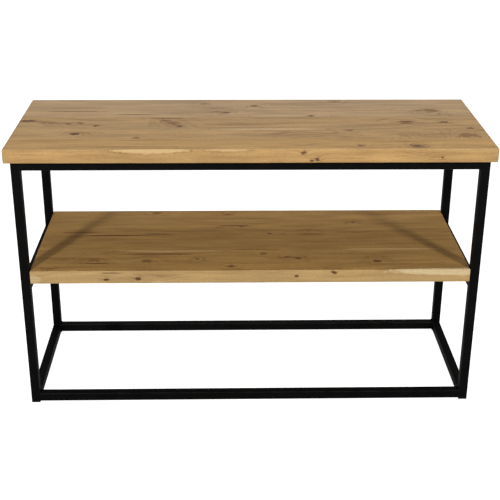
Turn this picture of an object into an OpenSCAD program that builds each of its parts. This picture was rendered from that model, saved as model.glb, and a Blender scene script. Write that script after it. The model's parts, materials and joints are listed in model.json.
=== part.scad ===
// Console table: a solid wood top and a fixed shelf on a welded frame of square steel tube.
// Millimetres, +Z up, -Y is the front. The origin is on the floor under the middle of the top.

/* [Overall] */
// Length of the top along X
table_w = 1300; // [900:10:1800]
// Depth of the top along Y
table_d = 480; // [360:10:700]
// Height of the upper face of the top above the floor
table_h = 775; // [600:5:950]

/* [Wood] */
// Thickness of the boards of the top
top_t = 38; // [32:1:60]
// Thickness of the boards of the shelf
shelf_t = 38; // [32:1:60]
// Height of the upper face of the shelf above the floor
shelf_h = 420; // [180:5:560]
// How far the top stands out past the frame on every side
overhang = 15; // [2:1:60]
// Gap between each end of the shelf and the legs beside it
shelf_gap = 1; // [0.5:0.5:4]
// Radius of the eased edges of the top and the shelf
edge_r = 2.5; // [1:0.5:8]

/* [Frame] */
// Side of the square tube
tube = 25; // [20:1:50]
// Wall thickness of the tube
wall = 1.5; // [1:0.1:2]
// Radius of the outer corners of the tube
tube_r = 2.5; // [2.2:0.1:4]
// Leg length of the weld fillets
weld = 4; // [2:0.5:5]

/* [Feet] */
// Height of a foot below the end of the leg
foot_h = 5; // [3:0.5:15]
// Radius of the lower edges of a foot
foot_r = 2; // [0.5:0.5:2.5]
// How far the plug of a foot reaches into the leg
plug_h = 20; // [12:1:40]
// Gap between the ribs of the plug and the inside of the leg
plug_gap = 0.2; // [0.1:0.05:0.5]
// Thickness of a rib of the plug
rib_t = 1.5; // [1:0.1:2.5]

/* [Fixings] */
// Leg length of the corner plates under the top
plate_size = 60; // [45:1:90]
// Thickness of the corner plates and of the middle tabs
plate_t = 3; // [2:0.5:5]
// Distance from the rails to the screw slot of a corner plate
plate_hole = 22; // [16:1:30]
// Length of a middle tab along its rail
tab_w = 44; // [30:1:80]
// How far a middle tab stands out from its rail
tab_reach = 36; // [30:1:60]
// Length of a shelf tab along its rail
shelf_tab_w = 40; // [30:1:60]
// How far a shelf tab stands out from its rail
shelf_tab_reach = 42; // [36:1:60]
// Thickness of the shelf tabs
shelf_tab_t = 4; // [3:0.5:6]
// Distance from a leg to the middle of the nearest shelf tab
shelf_tab_inset = 55; // [40:1:90]
// Distance from the rail to the screw slot of a shelf tab
shelf_tab_hole = 27; // [22:1:28]
// Distance from the rail to the screw slot of a middle tab
tab_hole = 20; // [16:1:22]
// Outer radius of the screw thread
screw_r = 2.5; // [1.5:0.25:3]
// Length of a screw under its head
screw_l = 30; // [20:1:32]
// Radius of a screw head
head_r = 5; // [4:0.25:6]
// Height of a screw head
head_h = 3.2; // [2.4:0.2:4]
// Outer radius of a washer
washer_r = 7.5; // [6.5:0.25:9]
// Thickness of a washer
washer_t = 1.2; // [0.8:0.1:2]

/* [Hidden] */
$fn = 64;
// Relative widths of the edge-glued boards, from front to rear
TOP_BOARDS = [19, 17, 26, 17, 21];
SHELF_BOARDS = [10, 21, 28, 14, 27];
SIDES = [["left", -1], ["right", 1]];
ENDS = [["front", -1], ["rear", 1]];
CORNERS = [for (e = ENDS, s = SIDES) [str(e[0], "_", s[0]), s[1], e[1]]];

// Outer faces of the frame, and the inner faces of its tubes
frame_x = table_w / 2 - overhang;
frame_y = table_d / 2 - overhang;
inner_x = frame_x - tube;
inner_y = frame_y - tube;
bore = tube - 2 * wall;
tube_flat = tube - 2 * tube_r;

// Heights: underside of the top, underside of the shelf, and the three levels of rails
frame_top = table_h - top_t;
shelf_low = shelf_h - shelf_t;
top_rail_z = frame_top - tube / 2;
shelf_rail_z = shelf_low - tube / 2;
base_rail_z = foot_h + tube / 2;

// Clearances and cuts that go with the screws
pilot_gap = 0.1;
pilot_extra = 2;
washer_gap = 0.3;
slot_gap = 0.6;
slot_travel = 6;
slot_r = screw_r + slot_gap;
screw_tip = 5;
recess_w = 1.2;
recess_l = 5.2;
recess_h = 1.8;
screw_tip_r = screw_r / 8;

// Cut tips of the corner plates, and how far the weld of a plate stops short of its ends
plate_tip = 12;
weld_stop = 2;

// Foot plug
core_wall = 2;
core_gap = 2.5;
core = bore - 2 * core_gap;
rib_count = 3;

// How far a cutting shape reaches past what it cuts
past = 1;

// Screw places seen from above: four corner plates and two middle tabs, then four shelf tabs
top_screws_xy = concat(
    [for (c = CORNERS) [c[1] * (inner_x - plate_hole), c[2] * (inner_y - plate_hole)]],
    [for (e = ENDS) [0, e[1] * (inner_y - tab_hole)]]
);
shelf_screws_xy = [
    for (c = CORNERS) [c[1] * (inner_x - shelf_tab_hole), c[2] * (inner_y - shelf_tab_inset)]
];

// Undersides of the steel that the washers and screw heads bear on
top_bearing = frame_top - plate_t;
shelf_bearing = shelf_low - shelf_tab_t;

// Sum of the first n numbers of a list
function sum_to(v, n) = n <= 0 ? 0 : v[n - 1] + sum_to(v, n - 1);

// Place along Y of the joint in front of board n, counted from 0
function joint_y(parts, n, depth) = depth * (sum_to(parts, n) / sum_to(parts, len(parts)) - 0.5);

// ---- Shared shapes ----

module rounded_rect(size_x, size_y, r) {
    square([size_x - 2 * r, size_y], center = true);
    square([size_x, size_y - 2 * r], center = true);
    for (sx = [-1, 1], sy = [-1, 1])
        translate([sx * (size_x / 2 - r), sy * (size_y / 2 - r)]) circle(r);
}

// Mirrors what is drawn for the right rear corner to another corner
module at_corner(sx, sy) {
    mirror([sx < 0 ? 1 : 0, 0, 0]) mirror([0, sy < 0 ? 1 : 0, 0]) children();
}

module square_tube(length) {
    linear_extrude(length) difference() {
        rounded_rect(tube, tube, tube_r);
        rounded_rect(bore, bore, tube_r - wall);
    }
}

// A screw slot as a flat shape, longer along Y so that the wood can move across its grain
module slot_shape() {
    square([2 * slot_r, slot_travel], center = true);
    for (s = [-1, 1]) translate([0, s * slot_travel / 2]) circle(slot_r);
}

// ---- Wood ----

// A whole panel with all its outer edges eased, its underside at z = 0
module panel(length, depth, t) {
    intersection() {
        linear_extrude(t) rounded_rect(length, depth, edge_r);
        translate([0, 0, t / 2]) rotate([90, 0, 90])
            linear_extrude(length + 2 * past, center = true) rounded_rect(depth, t, edge_r);
        translate([0, 0, t / 2]) rotate([90, 0, 0])
            linear_extrude(depth + 2 * past, center = true) rounded_rect(length, t, edge_r);
    }
}

// One board of a panel, from joint n to the next, with the pilot holes that fall in it
module board(parts, n, length, depth, t, underside, screws_xy, pilot_depth) {
    y0 = joint_y(parts, n, depth);
    y1 = joint_y(parts, n + 1, depth);
    pilot_r = screw_r + pilot_gap;
    translate([0, 0, underside]) difference() {
        intersection() {
            panel(length, depth, t);
            translate([-length, y0, -t]) cube([2 * length, y1 - y0, 3 * t]);
        }
        for (p = screws_xy)
            if (p[1] > y0 - pilot_r && p[1] < y1 + pilot_r)
                translate([p[0], p[1], -past]) cylinder(h = pilot_depth + past, r = pilot_r);
    }
}

module top_board(n) {
    color("burlywood")
        board(TOP_BOARDS, n, table_w, table_d, top_t, frame_top, top_screws_xy,
              screw_l - plate_t - washer_t + pilot_extra);
}

module shelf_board(n) {
    color("peru")
        board(SHELF_BOARDS, n, 2 * (inner_x - shelf_gap), 2 * frame_y, shelf_t, shelf_low,
              shelf_screws_xy, screw_l - shelf_tab_t - washer_t + pilot_extra);
}

// ---- Frame ----

module leg(sx, sy) {
    color([0.09, 0.09, 0.10]) at_corner(sx, sy)
        translate([frame_x - tube / 2, frame_y - tube / 2, foot_h])
            square_tube(frame_top - foot_h);
}

// A rail along X between two legs
module long_rail(sy, z) {
    color([0.09, 0.09, 0.10])
        translate([-inner_x, sy * (frame_y - tube / 2), z]) rotate([0, 90, 0])
            square_tube(2 * inner_x);
}

// A rail along Y between two legs
module side_rail(sx, z) {
    color([0.09, 0.09, 0.10])
        translate([sx * (frame_x - tube / 2), inner_y, z]) rotate([90, 0, 0])
            square_tube(2 * inner_y);
}

// ---- Plates and tabs that hold the wood ----

// Three-cornered plate with cut tips, level with the top of the frame
module corner_plate(sx, sy) {
    outline = [
        [0, 0], [plate_size, 0], [plate_size, plate_tip], [plate_tip, plate_size], [0, plate_size]
    ];
    color([0.09, 0.09, 0.10]) at_corner(sx, sy)
        translate([inner_x, inner_y, frame_top - plate_t]) linear_extrude(plate_t) difference() {
            rotate(180) polygon(outline);
            translate([-plate_hole, -plate_hole]) slot_shape();
        }
}

module top_tab(sy) {
    color([0.09, 0.09, 0.10]) at_corner(1, sy)
        translate([0, inner_y, frame_top - plate_t]) linear_extrude(plate_t) difference() {
            translate([-tab_w / 2, -tab_reach]) square([tab_w, tab_reach]);
            translate([0, -tab_hole]) slot_shape();
        }
}

module shelf_tab(sx, sy) {
    color([0.09, 0.09, 0.10]) at_corner(sx, sy)
        translate([inner_x, inner_y - shelf_tab_inset, shelf_bearing])
            linear_extrude(shelf_tab_t) difference() {
                translate([-shelf_tab_reach, -shelf_tab_w / 2])
                    square([shelf_tab_reach, shelf_tab_w]);
                translate([-shelf_tab_hole, 0]) slot_shape();
            }
}

// ---- Screws and washers ----

// Pan head screw pointing up, the underside of its head at z = 0
module screw() {
    dome_r = 2 * head_r;
    cylinder(h = screw_l - screw_tip, r = screw_r);
    translate([0, 0, screw_l - screw_tip]) cylinder(h = screw_tip, r1 = screw_r, r2 = screw_tip_r);
    difference() {
        intersection() {
            translate([0, 0, -head_h]) cylinder(h = head_h, r = head_r);
            translate([0, 0, dome_r - head_h]) sphere(dome_r);
        }
        for (a = [0, 90]) rotate(a)
            translate([-recess_l / 2, -recess_w / 2, -head_h - past])
                cube([recess_l, recess_w, recess_h + past]);
    }
}

module washer() {
    difference() {
        cylinder(h = washer_t, r = washer_r);
        translate([0, 0, -past]) cylinder(h = washer_t + 2 * past, r = screw_r + washer_gap);
    }
}

// Washers hang from the bearing face, and screw heads from the washers
module screws(places, bearing) {
    color("silver") for (p = places) translate([p[0], p[1], bearing - washer_t]) screw();
}

module washers(places, bearing) {
    color("silver") for (p = places) translate([p[0], p[1], bearing - washer_t]) washer();
}

// ---- Feet ----

// Side view of the part of a foot below the leg, its lower corners rounded
module foot_profile() {
    translate([-tube / 2, foot_r]) square([tube, foot_h - foot_r]);
    translate([foot_r - tube / 2, 0]) square([tube - 2 * foot_r, foot_h]);
    for (s = [-1, 1]) translate([s * (tube / 2 - foot_r), foot_r]) circle(foot_r);
}

// Plastic glide with a ribbed hollow plug that is pushed into the leg
module foot(sx, sy) {
    rib = bore - 2 * plug_gap;
    pitch = (plug_h - rib_t) / rib_count;
    color([0.05, 0.05, 0.05]) at_corner(sx, sy)
        translate([frame_x - tube / 2, frame_y - tube / 2, 0]) {
            intersection() {
                linear_extrude(foot_h) rounded_rect(tube, tube, tube_r);
                rotate([90, 0, 0]) linear_extrude(tube + 2 * past, center = true) foot_profile();
                rotate([90, 0, 90]) linear_extrude(tube + 2 * past, center = true) foot_profile();
            }
            translate([0, 0, foot_h]) linear_extrude(plug_h) difference() {
                square(core, center = true);
                square(core - 2 * core_wall, center = true);
            }
            for (i = [1 : rib_count]) translate([0, 0, foot_h + i * pitch])
                linear_extrude(rib_t) difference() {
                    rounded_rect(rib, rib, tube_r);
                    square(core - 2 * core_wall, center = true);
                }
        }
}

// ---- Welds ----

// Straight fillets in an inside corner: the corner edge runs along the named axis from a to b,
// and the two signs say to which side of the edge the weld lies
module fillet_x(a, b, y, z, sy, sz) {
    translate([a, y, z]) rotate([90, 0, 90])
        linear_extrude(b - a) polygon([[0, 0], [sy * weld, 0], [0, sz * weld]]);
}

module fillet_y(a, b, x, z, sx, sz) {
    translate([x, b, z]) rotate([90, 0, 0])
        linear_extrude(b - a) polygon([[0, 0], [sx * weld, 0], [0, sz * weld]]);
}

module fillet_z(a, b, x, y) {
    translate([x, y, a])
        linear_extrude(b - a) polygon([[0, 0], [-weld, 0], [0, -weld]]);
}

// The three fillets of one frame corner: both rails against the leg, and the rails to each other
module corner_welds(rail_face, side, low, high) {
    middle = frame_x - tube / 2;
    middle_y = frame_y - tube / 2;
    fillet_y(middle_y - tube_flat / 2, middle_y + tube_flat / 2, inner_x, rail_face, -1, side);
    fillet_x(middle - tube_flat / 2, middle + tube_flat / 2, inner_y, rail_face, -1, side);
    fillet_z(low, high, inner_x, inner_y);
}

module welds_base() {
    color([0.12, 0.12, 0.13]) for (c = CORNERS) at_corner(c[1], c[2])
        corner_welds(foot_h + tube, 1, foot_h + tube_r, foot_h + tube - tube_r);
}

module welds_top() {
    start = 2 * weld;
    color([0.12, 0.12, 0.13]) {
        for (c = CORNERS) at_corner(c[1], c[2]) {
            corner_welds(frame_top - tube, -1, frame_top - tube + tube_r, top_bearing);
            fillet_x(inner_x - plate_size + weld_stop, inner_x - start, inner_y, top_bearing, -1, -1);
            fillet_y(inner_y - plate_size + weld_stop, inner_y - start, inner_x, top_bearing, -1, -1);
        }
        for (e = ENDS) at_corner(1, e[1])
            fillet_x(weld_stop - tab_w / 2, tab_w / 2 - weld_stop, inner_y, top_bearing, -1, -1);
    }
}

module welds_shelf() {
    middle = frame_x - tube / 2;
    tab_y = inner_y - shelf_tab_inset;
    reach = shelf_tab_w / 2 - weld_stop;
    color([0.12, 0.12, 0.13]) for (c = CORNERS) at_corner(c[1], c[2]) {
        fillet_x(middle - tube_flat / 2, middle + tube_flat / 2, inner_y, shelf_low, -1, 1);
        fillet_x(middle - tube_flat / 2, middle + tube_flat / 2, inner_y, shelf_low - tube, -1, -1);
        fillet_y(tab_y - reach, tab_y + reach, inner_x, shelf_bearing, -1, -1);
    }
}

// ---- The pieces ----

for (n = [0 : len(TOP_BOARDS) - 1])
    top_board(n);
for (n = [0 : len(SHELF_BOARDS) - 1])
    shelf_board(n);

for (c = CORNERS) {
    leg(c[1], c[2]);
    foot(c[1], c[2]);
    corner_plate(c[1], c[2]);
    shelf_tab(c[1], c[2]);
}

for (e = ENDS) {
    long_rail(e[1], top_rail_z);
    long_rail(e[1], base_rail_z);
    top_tab(e[1]);
}

for (s = SIDES) {
    side_rail(s[1], top_rail_z);
    side_rail(s[1], shelf_rail_z);
    side_rail(s[1], base_rail_z);
}

screws(top_screws_xy, top_bearing);  // top_screws
washers(top_screws_xy, top_bearing);  // top_washers
screws(shelf_screws_xy, shelf_bearing);  // shelf_screws
washers(shelf_screws_xy, shelf_bearing);  // shelf_washers
welds_top();
welds_shelf();
welds_base();
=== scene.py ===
"""Console table: a solid wood top and shelf on a welded frame of black coated square tube.

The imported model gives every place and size. Each sub-assembly below builds the detailed pieces that stand
for its nodes, and each finish builds the material that they wear. Lengths are metres, but those of the
finishes are millimetres.
"""

import json
import logging
import math
from abc import ABC, abstractmethod
from collections.abc import Iterable, Sequence
from dataclasses import dataclass, field
from enum import Enum
from functools import partial

import bmesh
import bpy
import numpy as np
from bpy.types import Material, Mesh, Node, NodeSocket, NodeTree, Object
from mathutils import Matrix, Vector

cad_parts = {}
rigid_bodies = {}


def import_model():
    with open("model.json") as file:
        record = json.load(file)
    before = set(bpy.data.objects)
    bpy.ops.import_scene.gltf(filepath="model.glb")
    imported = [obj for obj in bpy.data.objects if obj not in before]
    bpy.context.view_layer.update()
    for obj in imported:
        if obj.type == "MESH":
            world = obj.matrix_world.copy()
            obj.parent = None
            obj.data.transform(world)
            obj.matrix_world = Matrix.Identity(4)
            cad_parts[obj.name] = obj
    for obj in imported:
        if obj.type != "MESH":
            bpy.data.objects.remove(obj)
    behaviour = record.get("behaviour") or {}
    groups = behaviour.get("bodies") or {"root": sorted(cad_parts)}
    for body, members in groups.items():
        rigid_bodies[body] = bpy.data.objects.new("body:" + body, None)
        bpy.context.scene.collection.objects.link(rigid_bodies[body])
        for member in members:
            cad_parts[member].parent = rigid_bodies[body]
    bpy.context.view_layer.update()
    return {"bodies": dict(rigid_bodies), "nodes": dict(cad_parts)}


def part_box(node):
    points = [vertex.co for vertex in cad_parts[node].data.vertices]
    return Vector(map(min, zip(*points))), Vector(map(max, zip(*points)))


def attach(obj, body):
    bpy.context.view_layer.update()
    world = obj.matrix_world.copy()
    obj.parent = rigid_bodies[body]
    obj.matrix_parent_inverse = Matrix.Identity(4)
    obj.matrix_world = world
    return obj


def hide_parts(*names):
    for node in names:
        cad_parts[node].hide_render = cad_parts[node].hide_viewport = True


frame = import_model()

LOG = logging.getLogger("console_table")
MM = 0.001
BODY = next(iter(frame["bodies"]))
CORNERS = ("front_left", "front_right", "rear_left", "rear_right")
SHARP_ANGLE = math.radians(38)
WELD_DISTANCE = 1e-6
MERGE_DISTANCE = 1e-5
ARRIS = "arris"

Pair = tuple[float, float]
Triple = tuple[float, float, float]
Colour = tuple[float, float, float]
Box = tuple[Vector, Vector]


class Slot(Enum):
    """Material slots of the record."""

    WOOD_TOP = "wood_top"
    WOOD_SHELF = "wood_shelf"
    FRAME = "frame_steel"
    FOOT = "foot_plastic"
    FIXING = "fixing_steel"


class Axis(Enum):
    """Direction in which a tube runs, with the turn that brings a tube drawn along Z to it."""

    X = (0, (0.0, math.pi / 2, 0.0))
    Y = (1, (-math.pi / 2, 0.0, 0.0))
    Z = (2, (0.0, 0.0, 0.0))

    @property
    def index(self) -> int:
        """Number of the axis: 0, 1 or 2."""
        return self.value[0]

    @property
    def turn(self) -> Triple:
        """Euler angles from Z to this axis."""
        return self.value[1]


# ---- Node trees ----


class Graph:
    """A node tree under construction, with short ways to add its nodes and link them."""

    def __init__(self, tree: NodeTree) -> None:
        """Takes the tree that the nodes go into."""
        self.tree = tree

    def feed(self, socket: NodeSocket, value: object) -> None:
        """Links an output to a socket, or sets the socket's own value.

        Args:
            socket: The input to feed.
            value: An output socket, or a plain value.
        """
        if isinstance(value, NodeSocket):
            self.tree.links.new(value, socket)
        elif isinstance(value, (tuple, list)) and len(value) == 3 and len(socket.default_value) == 4:
            socket.default_value = (*value, 1.0)
        else:
            socket.default_value = value

    def add(self, kind: str, inputs: dict | None = None, **settings: object) -> Node:
        """Adds a node.

        Args:
            kind: The node's type name.
            inputs: Values or outputs for its inputs, by name or number.
            settings: The node's own properties.

        Returns:
            The new node.
        """
        node = self.tree.nodes.new(kind)
        for name, value in settings.items():
            setattr(node, name, value)
        for key, value in (inputs or {}).items():
            self.feed(node.inputs[key], value)
        return node

    def math(self, operation: str, *values: object, clamp: bool = False) -> NodeSocket:
        """Adds a Math node with up to three values, and returns its output."""
        node = self.add("ShaderNodeMath", dict(enumerate(values)), operation=operation, use_clamp=clamp)
        return node.outputs[0]

    def vector(self, operation: str, *values: object, scale: object = None) -> NodeSocket:
        """Adds a Vector Math node.

        Args:
            operation: What it does.
            values: Its vectors.
            scale: Its number, for SCALE.

        Returns:
            Its vector, or its number for LENGTH.
        """
        node = self.add("ShaderNodeVectorMath", dict(enumerate(values)), operation=operation)
        if scale is not None:
            self.feed(node.inputs["Scale"], scale)
        return node.outputs["Value" if operation == "LENGTH" else "Vector"]

    def split(self, value: object) -> tuple[NodeSocket, ...]:
        """Returns the X, Y and Z outputs of a vector."""
        return tuple(self.add("ShaderNodeSeparateXYZ", {0: value}).outputs)

    def join(self, x: object, y: object, z: object) -> NodeSocket:
        """Returns a vector of three values."""
        return self.add("ShaderNodeCombineXYZ", {0: x, 1: y, 2: z}).outputs[0]

    def fade(
        self, value: object, start: float, end: float, low: float = 0.0, high: float = 1.0
    ) -> NodeSocket:
        """Returns a smooth step of value: low at start, high at end."""
        inputs = {"Value": value, "From Min": start, "From Max": end, "To Min": low, "To Max": high}
        return self.add("ShaderNodeMapRange", inputs, interpolation_type="SMOOTHSTEP").outputs["Result"]

    def mix(self, factor: object, first: object, second: object, blend: str = "MIX") -> NodeSocket:
        """Mixes two colours.

        Args:
            factor: Share of the second colour.
            first: The first colour.
            second: The second colour.
            blend: How they blend.

        Returns:
            The mixed colour.
        """
        settings = {"data_type": "RGBA", "blend_type": blend, "clamp_factor": True}
        node = self.add("ShaderNodeMix", {"Factor": factor}, **settings)
        colours = [socket for socket in node.inputs if socket.type == "RGBA"]
        for socket, colour in zip(colours, (first, second)):
            self.feed(socket, colour)
        return next(output for output in node.outputs if output.type == "RGBA")

    def noise(self, place: object, detail: float = 2.0) -> NodeSocket:
        """Returns the strength of a noise texture at a place."""
        inputs = {"Vector": place, "Scale": 1.0, "Detail": detail, "Roughness": 0.5}
        return self.add("ShaderNodeTexNoise", inputs).outputs[0]

    def gather(self, *parts: NodeSocket) -> NodeSocket:
        """Joins pieces of geometry.

        Args:
            parts: The pieces.

        Returns:
            The joined geometry.
        """
        node = self.add("GeometryNodeJoinGeometry")
        for part in parts:
            self.tree.links.new(part, node.inputs[0])
        return node.outputs[0]

    def thicken(self, sheet: NodeSocket, height: object) -> NodeSocket:
        """Draws a flat sheet out into a closed solid.

        Args:
            sheet: The sheet, which faces up.
            height: How far it is drawn along Z.

        Returns:
            The solid.
        """
        inputs = {"Mesh": sheet, "Offset": self.join(0.0, 0.0, height), "Offset Scale": 1.0}
        drawn = self.add("GeometryNodeExtrudeMesh", inputs | {"Individual": False}).outputs[0]
        body = self.gather(drawn, self.add("GeometryNodeFlipFaces", {"Mesh": sheet}).outputs[0])
        inputs = {"Geometry": body, "Distance": MERGE_DISTANCE}
        return self.add("GeometryNodeMergeByDistance", inputs).outputs[0]

    def close(self, out: Node, geometry: NodeSocket, finish: NodeSocket) -> NodeTree:
        """Ends a geometry tree by making its instances real and setting its finish.

        Args:
            out: The node that takes the tree's output.
            geometry: The geometry.
            finish: The material that it gets.

        Returns:
            The finished tree.
        """
        real = self.add("GeometryNodeRealizeInstances", {"Geometry": geometry}).outputs[0]
        dressed = self.add("GeometryNodeSetMaterial", {"Geometry": real, "Material": finish})
        self.feed(out.inputs[0], dressed.outputs[0])
        return self.tree


SOCKETS = {
    "float": "NodeSocketFloat",
    "int": "NodeSocketInt",
    "vector": "NodeSocketVector",
    "colour": "NodeSocketColor",
    "geometry": "NodeSocketGeometry",
    "material": "NodeSocketMaterial",
    "object": "NodeSocketObject",
}


def new_group(
    name: str, kind: str, inputs: dict[str, tuple[str, object]], outputs: dict[str, str]
) -> tuple[Graph, dict[str, NodeSocket], Node]:
    """Starts a node group with named inputs and outputs.

    Args:
        name: The group's name.
        kind: ShaderNodeTree or GeometryNodeTree.
        inputs: Kind and default of each input, by name.
        outputs: Kind of each output, by name.

    Returns:
        The graph, the inputs as sockets by name, and the node that takes the outputs.
    """
    tree = bpy.data.node_groups.new(name, kind)
    for title, (form, default) in inputs.items():
        item = tree.interface.new_socket(title, in_out="INPUT", socket_type=SOCKETS[form])
        if default is not None:
            item.default_value = (*default, 1.0) if form == "colour" else default
    for title, form in outputs.items():
        tree.interface.new_socket(title, in_out="OUTPUT", socket_type=SOCKETS[form])
    graph = Graph(tree)
    source = graph.add("NodeGroupInput")
    return graph, {title: source.outputs[title] for title in inputs}, graph.add("NodeGroupOutput")


# ---- Shader effects that several finishes share ----


class Effects:
    """The shader node groups, each built once and placed in every material that uses it."""

    cool_shade: Colour = (0.74, 0.77, 0.84)
    end_shade: Colour = (0.5, 0.46, 0.42)

    def __init__(self) -> None:
        """Builds every group."""
        self.mark = self._mark()
        self.figure = self._figure()
        self.timber = self._timber()
        self.edge = self._edge()
        self.grit = self._grit()

    @staticmethod
    def place(graph: Graph, tree: NodeTree, inputs: dict) -> Node:
        """Places a group in a material.

        Args:
            graph: The material's graph.
            tree: The group.
            inputs: Values or outputs for the group's inputs.

        Returns:
            The group node.
        """
        node = graph.add("ShaderNodeGroup", node_tree=tree)
        for key, value in inputs.items():
            graph.feed(node.inputs[key], value)
        return node

    @staticmethod
    def _mark() -> NodeTree:
        """A knot, streak or patch in wood: an ellipsoid with a ragged edge that also bends the grain.

        Returns:
            The group.
        """
        graph, given, out = new_group(
            "wood_mark",
            "ShaderNodeTree",
            {
                "Place": ("vector", None),
                "Centre": ("vector", None),
                "Reach": ("vector", (10.0, 5.0, 20.0)),
                "Swell": ("float", 0.0),
                "Strength": ("float", 1.0),
                "Soft": ("float", 0.35),
                "Ragged": ("float", 1.8),
                "Bend": ("float", 0.0),
                "Mask": ("float", 0.0),
                "Near": ("float", 0.0),
            },
            {"Bend": "float", "Mask": "float", "Near": "float"},
        )
        ragged = graph.noise(graph.vector("MULTIPLY", given["Place"], (0.06, 0.22, 0.22)), 3.0)
        away = graph.vector("SUBTRACT", given["Place"], given["Centre"])
        near = graph.vector("LENGTH", graph.vector("DIVIDE", away, given["Reach"]))
        loose = graph.math("MULTIPLY_ADD", graph.math("SUBTRACT", ragged, 0.5), given["Ragged"], near)
        depth = graph.math("DIVIDE", graph.math("SUBTRACT", 1.0, loose), given["Soft"], clamp=True)
        hill = graph.math("EXPONENT", graph.math("MULTIPLY", graph.math("MULTIPLY", near, near), -0.17))
        bend = graph.math("MULTIPLY_ADD", hill, given["Swell"], given["Bend"])
        hill = graph.math("MULTIPLY", hill, graph.math("MINIMUM", given["Swell"], 1.0))
        core = graph.math("MULTIPLY", graph.fade(depth, 0.0, 1.0), given["Strength"])
        graph.feed(out.inputs["Bend"], bend)
        graph.feed(out.inputs["Mask"], graph.math("MAXIMUM", core, given["Mask"]))
        graph.feed(out.inputs["Near"], graph.math("MAXIMUM", hill, given["Near"]))
        return graph.tree

    @staticmethod
    def _figure() -> NodeTree:
        """The growth rings, fibres and pores of a board, as they fall on any face cut through it.

        Returns:
            The group.
        """
        graph, given, out = new_group(
            "wood_figure",
            "ShaderNodeTree",
            {
                "Place": ("vector", None),
                "Pith": ("vector", (0.0, 60.0, -60.0)),
                "Ring": ("float", 4.0),
                "Bend": ("float", 0.0),
                "Near": ("float", 0.0),
                "Seed": ("float", 0.0),
                "Wave": ("float", 8.0),
            },
            dict.fromkeys(("Rings", "Bands", "Fibre", "Streak", "Pores", "Patch"), "float"),
        )
        shift = graph.vector("SCALE", (317.0, 41.0, 23.0), scale=given["Seed"])
        place = graph.vector("ADD", given["Place"], shift)

        def stretched(along: float, across: float, detail: float) -> NodeSocket:
            """Noise stretched along the grain: its lengths along and across it in millimetres."""
            shares = (1 / along, 1 / across, 1 / across)
            return graph.noise(graph.vector("MULTIPLY", place, shares), detail)

        x, y, z = graph.split(given["Place"])
        drift, pith_y, pith_z = graph.split(given["Pith"])
        across = graph.math("SUBTRACT", y, graph.math("MULTIPLY_ADD", x, drift, pith_y))
        radius = graph.vector("LENGTH", graph.join(0.0, across, graph.math("SUBTRACT", z, pith_z)))
        wander = graph.math("MULTIPLY_ADD", stretched(520.0, 75.0, 2.0), 34.0, radius)
        roll = graph.math("MULTIPLY_ADD", stretched(130.0, 30.0, 2.0), given["Wave"], wander)
        ripple = graph.math("MULTIPLY_ADD", stretched(34.0, 8.0, 2.0), 3.6, roll)
        count = graph.math("DIVIDE", graph.math("ADD", ripple, given["Bend"]), given["Ring"])
        share = graph.math("FRACT", count)
        lapse = graph.math("MULTIPLY_ADD", given["Seed"], 7.3, count)
        inputs = {"W": lapse, "Scale": 0.42, "Detail": 3.0, "Roughness": 0.62}
        bands = graph.add("ShaderNodeTexNoise", inputs, noise_dimensions="1D").outputs[0]
        graph.feed(out.inputs["Bands"], graph.fade(bands, 0.28, 0.72))
        number = graph.math("ADD", graph.math("FLOOR", count), given["Seed"])
        tone = graph.add("ShaderNodeTexWhiteNoise", {"W": number}, noise_dimensions="1D").outputs["Value"]
        late = graph.math("MULTIPLY", graph.fade(share, 0.4, 0.88), graph.fade(share, 1.0, 0.9))
        rare = graph.math("MULTIPLY_ADD", graph.math("POWER", tone, 4.0), 0.9, 0.1)
        here = graph.fade(stretched(150.0, 24.0, 2.0), 0.42, 0.68, 0.1, 1.0)
        rare = graph.math("MULTIPLY", rare, here)
        strong = graph.math("MULTIPLY_ADD", given["Near"], 0.8, rare, clamp=True)
        graph.feed(out.inputs["Rings"], graph.math("MULTIPLY", late, strong))
        graph.feed(out.inputs["Fibre"], stretched(70.0, 1.1, 2.0))
        graph.feed(out.inputs["Streak"], stretched(170.0, 20.0, 4.0))
        graph.feed(out.inputs["Pores"], graph.fade(stretched(7.0, 0.55, 0.0), 0.60, 0.74))
        graph.feed(out.inputs["Patch"], graph.fade(stretched(300.0, 55.0, 2.0), 0.3, 0.7))
        return graph.tree

    @staticmethod
    def _timber() -> NodeTree:
        """Colour, roughness and relief of oiled wood from its figure and its marks.

        Returns:
            The group.
        """
        graph, given, out = new_group(
            "oiled_timber",
            "ShaderNodeTree",
            {
                "Early": ("colour", (0.5, 0.3, 0.1)),
                "Late": ("colour", (0.3, 0.16, 0.05)),
                "Pale": ("colour", (0.7, 0.55, 0.3)),
                "Knot": ("colour", (0.08, 0.04, 0.015)),
                "Stain": ("colour", (0.22, 0.12, 0.045)),
                "Rings": ("float", 0.0),
                "Bands": ("float", 0.5),
                "Fibre": ("float", 0.5),
                "Streak": ("float", 0.5),
                "Pores": ("float", 0.0),
                "Patch": ("float", 0.0),
                "Dark": ("float", 0.0),
                "Sap": ("float", 0.0),
                "End": ("float", 0.0),
                "Wear": ("float", 0.0),
            },
            {"Color": "colour", "Roughness": "float", "Height": "float"},
        )
        lines = graph.math("MULTIPLY", given["Rings"], graph.fade(given["Streak"], 0.3, 0.7, 0.55, 1.0))
        fibre = graph.fade(given["Fibre"], 0.34, 0.68, -0.12, 0.22)
        broad = graph.fade(given["Streak"], 0.32, 0.7, -0.08, 0.36)
        tide = graph.math("MULTIPLY_ADD", given["Bands"], 0.3, graph.math("ADD", fibre, broad))
        share = graph.math("MULTIPLY_ADD", lines, 0.9, tide, clamp=True)
        colour = graph.mix(share, given["Early"], given["Late"])
        cool = graph.math("MULTIPLY", given["Patch"], 0.4)
        colour = graph.mix(cool, colour, Effects.cool_shade, "MULTIPLY")
        pale = graph.mix(graph.math("MULTIPLY", share, 0.3), given["Pale"], given["Early"])
        shore = graph.fade(given["Sap"], 0.26, 0.1)
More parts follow.
